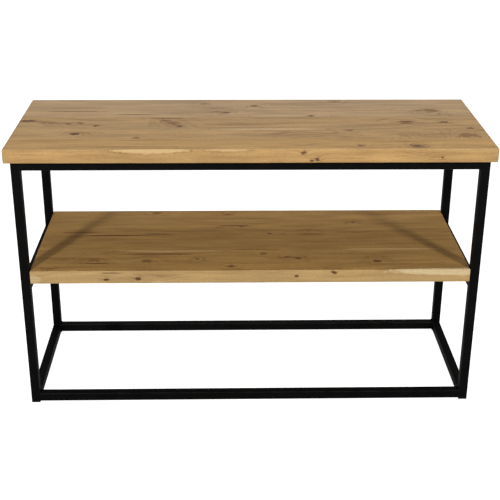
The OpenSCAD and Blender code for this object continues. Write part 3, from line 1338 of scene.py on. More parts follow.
@dataclass
class Brackets(Assembly):
    """The corner plates and tabs that the wood is screwed to, with slots that let it move."""

    coat: Material
    tip: float = 12 * MM
    slot_radius: float = 3.1 * MM
    slot_travel: float = 6 * MM
    plate_hole: float = 22 * MM
    tab_hole: float = 20 * MM
    shelf_hole: float = 27 * MM
    corner: float = 1.5 * MM
    broken_edge: float = 0.35 * MM
    broken_angle: float = math.radians(60)
    curve_steps: int = 8

    def build(self) -> None:
        """Builds every plate and tab."""
        tree = plate_tree()
        for corner in CORNERS:
            side_x = -1 if corner.endswith("left") else 1
            side_y = -1 if corner.startswith("front") else 1
            self._plate(tree, f"corner_plate_{corner}", side_x, side_y)
            low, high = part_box(f"shelf_tab_{corner}")
            end = high.x if side_x > 0 else low.x
            hole = Vector((end - side_x * self.shelf_hole, (low.y + high.y) / 2))
            self._tab(tree, f"shelf_tab_{corner}", hole)
        for end, side_y in (("front", -1), ("rear", 1)):
            node = f"top_tab_{end}"
            low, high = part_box(node)
            y = (high.y if side_y > 0 else low.y) - side_y * self.tab_hole
            self._tab(tree, node, Vector(((low.x + high.x) / 2, y)))

    def _slot(self, hole: Vector) -> list[Pair]:
        """Draws a screw slot, which is longer along Y.

        Args:
            hole: Its middle.

        Returns:
            Its outline.
        """
        points = []
        radius = self.slot_radius
        for end, start in ((1, 0.0), (-1, math.pi)):
            y = hole.y + end * self.slot_travel / 2
            turns = [start + math.pi * step / self.curve_steps for step in range(self.curve_steps + 1)]
            points += [(hole.x + radius * math.cos(a), y + radius * math.sin(a)) for a in turns]
        return points

    def _plate(self, tree: NodeTree, node: str, side_x: int, side_y: int) -> None:
        """Makes a three-cornered plate with cut tips.

        Args:
            tree: The tree that makes plates.
            node: The CAD node.
            side_x: 1 at the right end of the table, -1 at the left end.
            side_y: 1 at the rear, -1 at the front.
        """
        low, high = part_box(node)
        size = high.x - low.x
        home = Vector((high.x if side_x > 0 else low.x, high.y if side_y > 0 else low.y))
        shape = [(0, 0), (size, 0), (size, self.tip), (self.tip, size), (0, size)]
        outline = [(home.x - side_x * a, home.y - side_y * b) for a, b in shape]
        hole = Vector((home.x - side_x * self.plate_hole, home.y - side_y * self.plate_hole))
        self._cut(tree, node, outline, hole)

    def _tab(self, tree: NodeTree, node: str, hole: Vector) -> None:
        """Makes a rectangular tab with rounded corners.

        Args:
            tree: The tree that makes plates.
            node: The CAD node.
            hole: Middle of its slot.
        """
        low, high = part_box(node)
        middle = (low + high) / 2
        half = (high - low) / 2
        ring = rounded_square(half.x, half.y, self.corner, 0.0)
        self._cut(tree, node, [(middle.x + x, middle.y + y) for x, y, _ in ring], hole)

    def _cut(self, tree: NodeTree, node: str, outline: Sequence[Pair], hole: Vector) -> None:
        """Makes a plate from its outline and its slot, with its edges lightly broken.

        Args:
            tree: The tree that makes plates.
            node: The CAD node.
            outline: The plate's outline.
            hole: Middle of its slot.
        """
        low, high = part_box(node)
        points: list[Triple] = []
        edges: list[tuple[int, int]] = []
        for loop in (outline, self._slot(hole)):
            base = len(points)
            points += [(x, y, 0.0) for x, y in loop]
            edges += [(base + i, base + (i + 1) % len(loop)) for i in range(len(loop))]
        blank = make_object(f"{node}_outline", points, [], edges)
        add_tree(blank, tree, {"Height": low.z, "Thickness": high.z - low.z, "Finish": self.coat})
        bevel = blank.modifiers.new("broken_edges", "BEVEL")
        bevel.width = self.broken_edge
        bevel.segments = 2
        bevel.limit_method = "ANGLE"
        bevel.angle_limit = self.broken_angle
        self.hand_over(settle(f"{node}_steel", blank), [node], Slot.FRAME)


def weld_tree() -> NodeTree:
    """Builds the tree that lays a rippled weld bead along every edge of a drawing of loose edges.

    Each point of the drawing holds two directions, across and up, that lie in the two faces which the
    bead joins. The bead is a ring of points swept along the edge, held back to those faces.

    Returns:
        The tree.
    """
    graph, given, out = new_group(
        "weld_bead",
        "GeometryNodeTree",
        {
            "Seams": ("geometry", None),
            "Leg": ("float", 0.004),
            "Station": ("float", 0.0004),
            "Pitch": ("float", 0.0016),
            "Ripple": ("float", 0.09),
            "Bow": ("float", 0.0009),
            "Sides": ("int", 14),
            "Seed": ("float", 3.0),
            "Finish": ("material", None),
        },
        {"Geometry": "geometry"},
    )

    def named(name: str, form: str = "FLOAT_VECTOR") -> NodeSocket:
        """Reads an attribute of the seams."""
        node = graph.add("GeometryNodeInputNamedAttribute", {"Name": name}, data_type=form)
        return next(output for output in node.outputs if output.enabled)

    def stored(
        geometry: NodeSocket, name: str, value: NodeSocket, form: str = "FLOAT_VECTOR"
    ) -> NodeSocket:
        """Keeps a value on the points of a curve.

        Args:
            geometry: The curve.
            name: Name of the attribute.
            value: The value.
            form: Its kind.

        Returns:
            The curve with the attribute.
        """
        inputs = {"Geometry": geometry, "Name": name}
        node = graph.add("GeometryNodeStoreNamedAttribute", inputs, data_type=form)
        graph.feed(next(s for s in node.inputs if s.name == "Value" and s.enabled), value)
        return node.outputs[0]

    lines = graph.add("GeometryNodeMeshToCurve", {"Mesh": given["Seams"]}).outputs[0]
    inputs = {"Curve": lines, "Length": given["Station"]}
    fine = graph.add("GeometryNodeResampleCurve", inputs, mode="LENGTH").outputs[0]
    position = graph.add("GeometryNodeInputPosition").outputs[0]
    along = graph.add("GeometryNodeSplineParameter").outputs["Length"]
    whole = graph.add("GeometryNodeSplineLength").outputs["Length"]
    left = graph.math("MINIMUM", along, graph.math("SUBTRACT", whole, along))
    fine = stored(fine, "seam", position)
    fine = stored(fine, "along", along, "FLOAT")
    fine = stored(fine, "left", left, "FLOAT")
    inputs = {"Resolution": given["Sides"], "Radius": 1.0}
    ring = stored(graph.add("GeometryNodeCurvePrimitiveCircle", inputs).outputs[0], "turn", position)
    inputs = {"Curve": fine, "Profile Curve": ring, "Fill Caps": True}
    swept = graph.add("GeometryNodeCurveToMesh", inputs).outputs[0]
    turns = graph.split(named("turn"))[:2]
    reaches = [graph.math("MULTIPLY_ADD", turn, 0.52, 0.34) for turn in turns]
    across, up = (graph.math("MAXIMUM", reach, 0.0) for reach in reaches)
    lean = graph.math("SUBTRACT", across, up)
    curl = graph.math("MULTIPLY", graph.math("MULTIPLY", lean, lean), given["Bow"])
    phase = graph.math("DIVIDE", graph.math("SUBTRACT", named("along", "FLOAT"), curl), given["Pitch"])
    wave = graph.math("ABSOLUTE", graph.math("SINE", graph.math("MULTIPLY", phase, math.pi)))
    shift = graph.join(given["Seed"], given["Seed"], given["Seed"])
    spot = graph.vector("ADD", graph.vector("SCALE", named("seam"), scale=160.0), shift)
    uneven = graph.noise(spot, 1.0)
    swell = graph.math("MULTIPLY_ADD", graph.math("SUBTRACT", uneven, 0.5), 0.3, 1.0)
    swell = graph.math("MULTIPLY_ADD", graph.math("SUBTRACT", wave, 1.0), given["Ripple"], swell)
    taper = graph.fade(graph.math("DIVIDE", named("left", "FLOAT"), given["Leg"]), 0.0, 0.7, 0.45, 1.0)
    size = graph.math("MULTIPLY", graph.math("MULTIPLY", swell, taper), given["Leg"])
    place = named("seam")
    for direction, share in (("across", across), ("up", up)):
        step = graph.vector("SCALE", named(direction), scale=graph.math("MULTIPLY", share, size))
        place = graph.vector("ADD", place, step)
    moved = graph.add("GeometryNodeSetPosition", {"Geometry": swept, "Position": place}).outputs[0]
    for name in ("seam", "along", "left", "turn", "across", "up"):
        moved = graph.add("GeometryNodeRemoveAttribute", {"Geometry": moved, "Name": name}).outputs[0]
    return graph.close(out, moved, given["Finish"])


@dataclass
class Welds(Assembly):
    """The rippled beads in the inside corners of the frame."""

    coat: Material
    leg: float = 4 * MM
    flat: float = 20 * MM
    corner: float = 2.5 * MM
    stop: float = 2 * MM
    seams: list[tuple[Vector, ...]] = field(default_factory=list)

    def build(self) -> None:
        """Builds the beads of each level."""
        self.tree = weld_tree()
        low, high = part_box("leg_rear_right")
        self.inner = Vector((low.x, low.y))
        self.middle = Vector(((low.x + high.x) / 2, (low.y + high.y) / 2))
        self._base()
        self._lay("welds_base", 1.0)
        self._top()
        self._lay("welds_top", 2.0)
        self._shelf()
        self._lay("welds_shelf", 3.0)

    def _seam(self, start: Triple, end: Triple, across: Triple, up: Triple) -> None:
        """Notes a seam of the right rear corner, and its mirror images at the other three corners.

        Args:
            start: Its start.
            end: Its end.
            across: Direction away from it in one of the two faces that it joins.
            up: The same in the other face.
        """
        for side_x in (-1, 1):
            for side_y in (-1, 1):
                turn = Vector((side_x, side_y, 1))
                self.seams.append(tuple(Vector(v) * turn for v in (start, end, across, up)))

    def _corner(self, face: float, side: int, low: float, high: float) -> None:
        """Notes the seams where two rails meet a leg.

        Args:
            face: Height of the rails' open side.
            side: 1 where that side faces up, -1 where it faces down.
            low: Lowest point of the upright seam between the rails.
            high: Its highest point.
        """
        half = self.flat / 2
        x, y = self.inner
        x0, x1 = self.middle.x - half, self.middle.x + half
        y0, y1 = self.middle.y - half, self.middle.y + half
        self._seam((x, y0, face), (x, y1, face), (-1, 0, 0), (0, 0, side))
        self._seam((x0, y, face), (x1, y, face), (0, -1, 0), (0, 0, side))
        self._seam((x, y, low), (x, y, high), (-1, 0, 0), (0, -1, 0))

    def _base(self) -> None:
        """Notes the seams of the base rails."""
        low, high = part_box("base_rail_rear")
        self._corner(high.z, 1, low.z + self.corner, high.z - self.corner)

    def _top(self) -> None:
        """Notes the seams of the top rails, the corner plates and the middle tabs."""
        low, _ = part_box("top_rail_rear")
        plate_low, plate_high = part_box("corner_plate_rear_right")
        tab_low, tab_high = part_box("top_tab_rear")
        bearing = plate_low.z
        x, y = self.inner
        self._corner(low.z, -1, low.z + self.corner, bearing)
        start = plate_low + Vector((self.stop, self.stop, 0))
        end = plate_high - Vector((2, 2, 0)) * self.leg
        self._seam((start.x, y, bearing), (end.x, y, bearing), (0, -1, 0), (0, 0, -1))
        self._seam((x, start.y, bearing), (x, end.y, bearing), (-1, 0, 0), (0, 0, -1))
        for side_y in (-1, 1):
            ends = [(x, side_y * y, bearing) for x in (tab_low.x + self.stop, tab_high.x - self.stop)]
            self.seams.append(tuple(Vector(v) for v in (*ends, (0, -side_y, 0), (0, 0, -1))))

    def _shelf(self) -> None:
        """Notes the seams of the shelf rails and the shelf tabs."""
        low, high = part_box("shelf_rail_right")
        tab_low, tab_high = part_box("shelf_tab_rear_right")
        x0, x1 = self.middle.x - self.flat / 2, self.middle.x + self.flat / 2
        for face, side in ((high.z, 1), (low.z, -1)):
            ends = [(x, self.inner.y, face) for x in (x0, x1)]
            self._seam(*ends, (0, -1, 0), (0, 0, side))
        y0, y1 = tab_low.y + self.stop, tab_high.y - self.stop
        ends = [(self.inner.x, y, tab_low.z) for y in (y0, y1)]
        self._seam(*ends, (-1, 0, 0), (0, 0, -1))

    def _lay(self, node: str, seed: float) -> None:
        """Turns the noted seams into one piece of beads.

        Args:
            node: The CAD node.
            seed: Seed of the beads' unevenness.
        """
        points = [p for seam in self.seams for p in seam[:2]]
        edges = [(2 * i, 2 * i + 1) for i in range(len(self.seams))]
        drawing = make_object(f"{node}_seams", points, [], edges)
        for name, column in (("across", 2), ("up", 3)):
            values = [tuple(seam[column]) for seam in self.seams for _ in range(2)]
            layer = drawing.data.attributes.new(name, "FLOAT_VECTOR", "POINT")
            layer.data.foreach_set("vector", np.array(values, np.float32).ravel())
        add_tree(drawing, self.tree, {"Leg": self.leg, "Seed": seed, "Finish": self.coat})
        self.hand_over(settle(f"{node}_beads", drawing), [node], Slot.FRAME)
        self.seams.clear()


def fastener_tree() -> NodeTree:
    """Builds the tree that sets one fastener at every point, each turned by chance.

    Returns:
        The tree.
    """
    graph, given, out = new_group(
        "set_fasteners",
        "GeometryNodeTree",
        {
            "Places": ("geometry", None),
            "Fastener": ("object", None),
            "Seed": ("int", 1),
            "Finish": ("material", None),
        },
        {"Geometry": "geometry"},
    )
    unit = graph.add("GeometryNodeObjectInfo", {"Object": given["Fastener"]}, transform_space="ORIGINAL")
    chance = graph.add("FunctionNodeRandomValue", {"Seed": given["Seed"]}, data_type="FLOAT")
    turns = [s for s in chance.inputs if s.name in ("Min", "Max") and s.enabled]
    graph.feed(turns[0], 0.0)
    graph.feed(turns[1], 2 * math.pi)
    angle = graph.join(0.0, 0.0, next(o for o in chance.outputs if o.enabled))
    points = graph.add("GeometryNodeMeshToPoints", {"Mesh": given["Places"]}).outputs[0]
    inputs = {"Points": points, "Instance": unit.outputs["Geometry"], "Rotation": angle}
    spread = graph.add("GeometryNodeInstanceOnPoints", inputs).outputs[0]
    return graph.close(out, spread, given["Finish"])


@dataclass
class Fasteners(Assembly):
    """The screws and washers under the top and the shelf."""

    plate: Material
    length: float = 30 * MM
    thread_radius: float = 2.5 * MM
    core_radius: float = 1.75 * MM
    thread_pitch: float = 1.8 * MM
    shank: float = 5 * MM
    tip: float = 5 * MM
    head_radius: float = 5 * MM
    head_height: float = 3.2 * MM
    recess_length: float = 5.2 * MM
    recess_width: float = 1.2 * MM
    recess_depth: float = 1.8 * MM
    washer_radius: float = 7.5 * MM
    washer_hole: float = 2.8 * MM
    washer_height: float = 1.2 * MM
    washer_round: float = 0.3 * MM
    sharp: float = math.radians(30)
    sides: int = 24
    head_steps: int = 6
    pitch_steps: int = 7

    def build(self) -> None:
        """Builds the screws and washers of both panels."""
        tree = fastener_tree()
        screw = self._screw()
        washer = self._washer()
        for number, panel in enumerate(("top", "shelf")):
            heads = [p + Vector((0, 0, self.head_height)) for p in solid_places(f"{panel}_screws")]
            self._set(tree, screw, f"{panel}_screws", heads, 2 * number + 1)
            self._set(tree, washer, f"{panel}_washers", solid_places(f"{panel}_washers"), 2 * number + 2)
        bpy.data.objects.remove(screw)
        bpy.data.objects.remove(washer)

    def _set(self, tree: NodeTree, unit: Object, node: str, places: list[Vector], seed: int) -> None:
        """Sets a fastener at each place as one piece.

        Args:
            tree: The tree that sets fasteners.
            unit: The fastener.
            node: The CAD node.
            places: The places.
            seed: Seed of the turns.
        """
        points = make_object(f"{node}_places", places, [])
        add_tree(points, tree, {"Fastener": unit, "Seed": seed, "Finish": self.plate})
        self.hand_over(settle(f"{node}_zinc", points, self.sharp), [node], Slot.FIXING)

    def _screw(self) -> Object:
        """Makes a pan head wood screw that points up, with a real thread and a cross recess.

        Returns:
            The screw.
        """
        dome = 2 * self.head_radius
        profile = []
        for step in range(self.head_steps + 1):
            r = self.head_radius * (0.12 + 0.88 * step / self.head_steps) * 0.985
            profile.append((r, dome - math.sqrt(dome**2 - r**2) - self.head_height))
        profile += [
            (self.head_radius, profile[-1][1] + 0.3 * MM),
            (self.head_radius, -0.25 * MM),
            (self.head_radius * 0.96, 0.0),
            (self.thread_radius * 1.05, 0.0),
            (self.core_radius * 1.2, 0.4 * MM),
        ]
        rings = [circle(r, z, self.sides) for r, z in profile]
        turns = [2 * math.pi * i / self.sides for i in range(self.sides)]
        heights = np.arange(0.6 * MM, self.length - 0.1 * MM, self.thread_pitch / self.pitch_steps)
        rings += [[self._thread_point(a, float(z)) for a in turns] for z in heights]
        blank = loft("screw_blank", rings)
        cutter = self._cross()
        cut(blank, cutter)
        screw = settle("screw_unit", blank)
        bpy.data.objects.remove(cutter)
        return screw

    def _thread_point(self, angle: float, z: float) -> Triple:
        """Finds a point on the threaded shank.

        Args:
            angle: Its angle round the shank.
            z: Its height.

        Returns:
            The point.
        """
        share = (z / self.thread_pitch - angle / (2 * math.pi)) % 1.0
        crest = max(0.0, 1 - abs(share - 0.5) * 3.4)
        crest *= min(1.0, max(0.0, (z - self.shank) / self.thread_pitch))
        taper = min(1.0, max(0.04, (self.length - z) / self.tip))
        radius = (self.core_radius + (self.thread_radius - self.core_radius) * crest) * taper
        return radius * math.cos(angle), radius * math.sin(angle), z

    def _cross(self) -> Object:
        """Makes the cross that cuts the recess, narrower at its bottom.

        Returns:
            The cross.
        """
        outer, inner = self.recess_length / 2, self.recess_width / 2
        arms = [(outer, inner), (inner, inner), (inner, outer)]
        arms += [(-x, y) for x, y in arms[::-1]]
        arms += [(-x, -y) for x, y in arms]
        bottom = -self.head_height + self.recess_depth
        levels = ((-self.head_height - MM, 1.0), (bottom, 0.72))
        return loft("recess_cross", [[(x * scale, y * scale, z) for x, y in arms] for z, scale in levels])

    def _washer(self) -> Object:
        """Makes a washer with rounded edges.

        Returns:
            The washer.
        """
        middle = (self.washer_radius + self.washer_hole) / 2
        half = (self.washer_radius - self.washer_hole) / 2
        height = self.washer_height / 2
        outline = rounded_square(half, height, self.washer_round, 0.0, steps=3)
        rings = [circle(middle + r, height + z, 2 * self.sides) for r, z, _ in outline]
        return settle("washer_unit", loft("washer_blank", rings, closed=True))


def rib_tree() -> NodeTree:
    """Builds the tree that adds evenly spaced ribs round the plug of a foot and joins them to it.

    Returns:
        The tree.
    """
    graph, given, out = new_group(
        "plug_ribs",
        "GeometryNodeTree",
        {
            "Plug": ("geometry", None),
            "Rib": ("object", None),
            "Count": ("int", 3),
            "First": ("vector", None),
            "Spacing": ("vector", None),
            "Finish": ("material", None),
        },
        {"Geometry": "geometry"},
    )
    inputs = {"Count": given["Count"], "Start Location": given["First"], "Offset": given["Spacing"]}
    line = graph.add("GeometryNodeMeshLine", inputs, mode="OFFSET").outputs[0]
    unit = graph.add("GeometryNodeObjectInfo", {"Object": given["Rib"]}, transform_space="ORIGINAL")
    inputs = {"Points": line, "Instance": unit.outputs["Geometry"]}
    ribs = graph.add("GeometryNodeInstanceOnPoints", inputs).outputs[0]
    real = graph.add("GeometryNodeRealizeInstances", {"Geometry": ribs}).outputs[0]
    union = graph.add("GeometryNodeMeshBoolean", operation="UNION", solver="EXACT")
    many = next(socket for socket in union.inputs if socket.is_multi_input)
    for part in (given["Plug"], real):
        graph.tree.links.new(part, many)
    return graph.close(out, union.outputs[0], given["Finish"])


@dataclass
class Feet(Assembly):
    """The plastic feet: a rounded glide below each leg, on a ribbed hollow plug inside it."""

    plastic: Material
    glide: float = 5 * MM
    round_edge: float = 2 * MM
    corner: float = 2.5 * MM
    core: float = 17 * MM
    core_wall: float = 2 * MM
    rib: float = 21.6 * MM
    rib_height: float = 1.5 * MM
    rib_count: int = 3
    dish: float = 0.5 * MM
    dish_margin: float = 4 * MM
    chamfer: float = 0.3 * MM
    plug_chamfer: float = 0.5 * MM
    edge_steps: int = 6

    def build(self) -> None:
        """Builds the four feet."""
        tree = rib_tree()
        for corner in CORNERS:
            node = f"foot_{corner}"
            low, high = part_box(node)
            middle = (low + high) / 2
            home = Vector((middle.x, middle.y, low.z))
            plug_height = high.z - low.z - self.glide
            pitch = (plug_height - self.rib_height) / self.rib_count
            body = self._body(node, home, (high.x - low.x) / 2, high.z - low.z)
            rib = self._rib()
            add_tree(
                body,
                tree,
                {
                    "Rib": rib,
                    "Count": self.rib_count,
                    "First": tuple(home + Vector((0, 0, self.glide + pitch))),
                    "Spacing": (0.0, 0.0, pitch),
                    "Finish": self.plastic,
                },
            )
            piece = settle(f"{node}_plastic", body)
            bpy.data.objects.remove(rib)
            self.hand_over(piece, [node], Slot.FOOT)

    def _body(self, name: str, home: Vector, half: float, height: float) -> Object:
        """Makes the glide and the hollow plug as one solid.

        Args:
            name: The object's name.
            home: Middle of its underside.
            half: Half of its width.
            height: Its height.

        Returns:
            The solid, without its ribs.
        """
        inside = self.core / 2 - self.core_wall
        dish = half - self.round_edge - self.dish_margin
        levels = [(dish - MM, 0.5 * MM, self.dish), (dish, MM, self.dish * 0.4)]
        levels.append((dish + 0.4 * MM, MM, 0.0))
        for step in range(self.edge_steps + 1):
            a = math.pi / 2 * step / self.edge_steps
            inset = self.round_edge * (1 - math.sin(a))
            corner = max(self.corner - inset, MM)
            levels.append((half - inset, corner, self.round_edge * (1 - math.cos(a))))
        levels += [
            (half, self.corner, self.glide - self.chamfer),
            (half - self.chamfer, self.corner, self.glide),
            (self.core / 2, MM, self.glide),
            (self.core / 2, MM, height - self.plug_chamfer),
            (self.core / 2 - self.plug_chamfer, MM, height),
            (inside, 0.5 * MM, height),
            (inside, 0.5 * MM, self.glide + self.chamfer),
        ]
        rings = [rounded_square(reach, reach, radius, z) for reach, radius, z in levels]
        return loft(name, [[(home.x + x, home.y + y, home.z + z) for x, y, z in ring] for ring in rings])

    def _rib(self) -> Object:
        """Makes one rib, a thin collar that bites into the wall of the plug.

        Returns:
            The rib.
        """
        inside = self.core / 2 - self.core_wall / 2
        half = self.rib / 2
        top = self.rib_height
        levels = [(inside, MM, 0.0), (half - 0.2 * MM, MM, 0.0), (half, MM, top * 0.4)]
        levels += [(half - 0.5 * MM, MM, top), (inside, MM, top)]
        rib = loft("rib", [rounded_square(h, h, r, z) for h, r, z in levels], closed=True)
        tidy_mesh(rib.data)
        return rib


# ---- Studio ----


@dataclass(frozen=True)
class Softbox:
    """A rectangular lamp that faces a target; size and place are metres, power is watts."""

    name: str
    bearing: float
    height: float
    distance: float
    size: Pair
    power: float
    colour: Colour = (1.0, 1.0, 1.0)
    target: Triple = (0.0, 0.0, 0.55)

    def build(self) -> None:
        """Adds the lamp to the scene. Bearing 0 is in front, and a positive one to the right."""
        around, above = math.radians(self.bearing), math.radians(self.height)
        reach = math.cos(above)
        away = Vector((math.sin(around) * reach, -math.cos(around) * reach, math.sin(above)))
        lamp = bpy.data.lights.new(self.name, "AREA")
        lamp.shape = "RECTANGLE"
        lamp.size, lamp.size_y = self.size
        lamp.energy = self.power
        lamp.color = self.colour
        holder = bpy.data.objects.new(self.name, lamp)
        holder.location = Vector(self.target) + away * self.distance
        holder.rotation_mode = "QUATERNION"
        holder.rotation_quaternion = away.to_track_quat("Z", "Y")
        bpy.context.scene.collection.objects.link(holder)


@dataclass
class Studio:
    """A pale floor, soft lamps and the camera."""

    floor_size: float = 30.0
    floor_colour: Colour = (0.55, 0.55, 0.55)
    floor_glow: float = 0.95
    floor_roughness: float = 0.9
    floor_sheen: float = 0.1
    sky: float = 0.15
    camera_place: Triple = (-0.0659, -2.8097, 1.6239)
    pitch: float = 23.833
    yaw: float = -1.391
    roll: float = 0.299
    lens: float = 74.449
    lamps: tuple[Softbox, ...] = (
        Softbox("left_lamp", -32.0, 27.0, 4.3, (0.3, 0.3), 92.0),
        Softbox("right_lamp", 37.1, 27.0, 4.29, (0.4, 0.4), 86.0),
        Softbox("rear_lamp", 180.0, 66.0, 3.4, (3.4, 1.2), 44.0),
    )

    def build(self) -> None:
        """Builds the whole studio."""
        self._floor()
        self._world()
        for lamp in self.lamps:
            lamp.build()
        self._camera()
        bpy.context.scene.view_settings.view_transform = "Standard"
        LOG.info("studio: floor, sky, %d lamps, camera", len(self.lamps))

    def _floor(self) -> None:
        """Makes the floor, which glows a little so that shadows stay faint."""
        half = self.floor_size / 2
        floor = make_object(
            "studio_floor",
            [(-half, -half, 0), (half, -half, 0), (half, half, 0), (-half, half, 0)],
            [(0, 1, 2, 3)],
        )
        material, graph, shader, place = start_material("pale_floor")
        cloud = graph.noise(graph.vector("SCALE", place, scale=0.002))
        darker = tuple(0.985 * c for c in self.floor_colour)
        graph.feed(shader.inputs["Base Color"], graph.mix(cloud, self.floor_colour, darker))
        shader.inputs["Roughness"].default_value = self.floor_roughness
        shader.inputs["Specular IOR Level"].default_value = self.floor_sheen
        shader.inputs["Emission Color"].default_value = (1.0, 1.0, 1.0, 1.0)
        seen = graph.add("ShaderNodeLightPath").outputs["Is Camera Ray"]
        graph.feed(shader.inputs["Emission Strength"], graph.math("MULTIPLY", seen, self.floor_glow))
        below = graph.math("MULTIPLY", seen, graph.add("ShaderNodeNewGeometry").outputs["Backfacing"])
        graph.feed(shader.inputs["Alpha"], graph.math("SUBTRACT", 1.0, below))
        floor.data.materials.append(material)

    def _world(self) -> None:
        """Makes an even sky, white where it is seen directly."""
        world = bpy.data.worlds.new("studio_sky")
        world.use_nodes = True
        world.node_tree.nodes.clear()
        graph = Graph(world.node_tree)
        seen = graph.add("ShaderNodeLightPath").outputs["Is Camera Ray"]
        strength = graph.math("MULTIPLY_ADD", seen, 1.0 - self.sky, self.sky)
        sky = graph.add("ShaderNodeBackground", {"Color": (1.0, 1.0, 1.0, 1.0), "Strength": strength})
        graph.add("ShaderNodeOutputWorld", {"Surface": sky.outputs[0]})
        bpy.context.scene.world = world

    def _camera(self) -> None:
        """Makes the camera and its aim."""
        camera = bpy.data.cameras.new("camera")
        camera.lens = self.lens
        camera.sensor_width = 36.0
        camera.clip_start, camera.clip_end = 0.05, 100.0
        holder = bpy.data.objects.new("camera", camera)
        turns = (
            Matrix.Rotation(math.radians(self.yaw), 4, "Z")
            @ Matrix.Rotation(math.radians(90.0 - self.pitch), 4, "X")
            @ Matrix.Rotation(math.radians(self.roll), 4, "Z")
        )
        holder.matrix_world = Matrix.Translation(self.camera_place) @ turns
        bpy.context.scene.collection.objects.link(holder)
        bpy.context.scene.camera = holder


# ---- The wood of each board, front to rear ----

TOP_Z = 775.0
TOP_FRONT = -240.0
SHELF_Z = 420.0
SHELF_FRONT = -225.0

# On the top boards the grey rises from front to rear as a painted reflection of the bright surroundings,
# which grows towards the back. The higher tone of the two rear boards is partly the same painted
# reflection.
TOP_WOOD = (
    WoodFinish(
        tone=1.0,
        grey=0.0,
        sheen=0.55,
        pale=(0.67, 0.455, 0.208),
        pith=(0.02, -262.0, 640.0),
        ring=7.8,
        seed=1.0,
        dark=(
            knot(290.0, -210.0, TOP_Z, 9.0, strength=0.7),
            knot(436.0, -215.0, TOP_Z, 17.0, strength=0.75),
            edge_knot(136.0, TOP_FRONT, 765.0, 9.0),
            edge_knot(171.0, TOP_FRONT, 748.0, 6.0),
            edge_knot(158.0, TOP_FRONT, 743.0, 5.0),
            edge_knot(502.0, TOP_FRONT, 750.0, 4.0),
            streak(-362.0, -216.0, TOP_Z, 240.0, 5.0, 0.35),
            streak(390.0, -180.0, TOP_Z, 90.0, 5.0, 0.25),
            knot(452.0, -221.0, TOP_Z, 12.0, 2.0, 0.5),
        ),
        sap=(
            sapwood(-268.0, TOP_FRONT, 778.0, (125.0, 3.0, 17.0)),
            sapwood(-65.0, TOP_FRONT, 779.0, (85.0, 3.0, 12.0), 0.8, 0.45),
        ),
    ),
    WoodFinish(
        tone=1.0,
        pith=(-0.03, -80.0, 660.0),
        ring=6.8,
        seed=2.0,
        grey=0.11,
        sheen=0.5,
        dark=(
            knot(-477.0, -104.0, TOP_Z, 13.0, strength=0.95),
            knot(-309.0, -136.0, TOP_Z, 8.0, strength=0.7),
            knot(273.0, -72.0, TOP_Z, 12.0, strength=0.7),
            knot(589.0, -120.0, TOP_Z, 26.0, 1.6, 0.55),
            knot(420.0, -128.0, TOP_Z, 14.0, 2.6, 0.3),
            knot(612.0, -132.0, TOP_Z, 16.0, 2.4, 0.35),
            Mark((150.0, -118.0, TOP_Z), (60.0, 34.0, 26.0), 14.0, 0.0),
        ),
    ),
    WoodFinish(
        tone=0.96,
        pith=(0.015, 40.0, 655.0),
        ring=8.8,
        seed=3.0,
        grey=0.14,
        sheen=0.5,
        dark=(
            Mark((-622.0, 19.0, TOP_Z), (44.0, 13.0, 26.0), 16.0, 0.9),
            knot(-560.0, -8.0, TOP_Z, 9.0, strength=0.45),
            knot(-509.0, -11.0, TOP_Z, 9.0, strength=0.6),
            knot(-477.0, -1.0, TOP_Z, 8.0, strength=0.6),
            knot(-429.0, -30.0, TOP_Z, 10.0, strength=0.85),
            knot(-241.0, 22.0, TOP_Z, 15.0, 2.2, 0.6),
            knot(-213.0, -3.0, TOP_Z, 17.0, 2.4, 0.55),
            knot(-196.0, -34.0, TOP_Z, 11.0, strength=0.75),
            knot(442.0, 2.0, TOP_Z, 20.0, 1.6, 0.7),
            knot(550.0, 2.0, TOP_Z, 13.0, strength=0.7),
            knot(614.0, -56.0, TOP_Z, 10.0, strength=0.8),
            streak(-232.0, 43.0, TOP_Z, 62.0, 7.0, 0.45),
            streak(-30.0, -20.0, TOP_Z, 150.0, 8.0, 0.25),
        ),
        sap=(sapwood(52.0, -62.0, TOP_Z, (190.0, 8.0, 12.0), 1.0, 0.4),),
    ),
    WoodFinish(
        tone=1.1,
        pith=(-0.02, 150.0, 650.0),
        ring=7.1,
        seed=4.0,
        grey=0.24,
        sheen=0.6,
        dark=(
            knot(-67.0, 101.0, TOP_Z, 13.0, 1.8, 0.75),
            knot(-95.0, 112.0, TOP_Z, 9.0, 1.8, 0.4),
            knot(177.0, 64.0, TOP_Z, 9.0, strength=0.85),
            knot(532.0, 121.0, TOP_Z, 24.0, 2.6, 0.5),
            knot(498.0, 118.0, TOP_Z, 9.0, strength=0.6),
            streak(-506.0, 113.0, TOP_Z, 115.0, 6.0, 0.45),
            streak(-330.0, 81.0, TOP_Z, 80.0, 6.0, 0.4),
            streak(-85.0, 106.0, TOP_Z, 60.0, 6.0, 0.4),
        ),
        sap=(sapwood(120.0, 64.0, TOP_Z, (150.0, 6.0, 12.0), 0.7, 0.5),),
    ),
    WoodFinish(
        tone=1.09,
        pith=(0.01, 210.0, 640.0),
        ring=8.5,
        seed=5.0,
        grey=0.27,
        sheen=0.6,
        dark=(
            knot(16.0, 168.0, TOP_Z, 12.0, strength=0.6),
            knot(-130.0, 196.0, TOP_Z, 8.0, strength=0.4),
            knot(260.0, 214.0, TOP_Z, 10.0, strength=0.4),
            streak(-500.0, 150.0, TOP_Z, 110.0, 6.0, 0.3),
            streak(-90.0, 146.0, TOP_Z, 60.0, 5.0, 0.3),
        ),
    ),
)
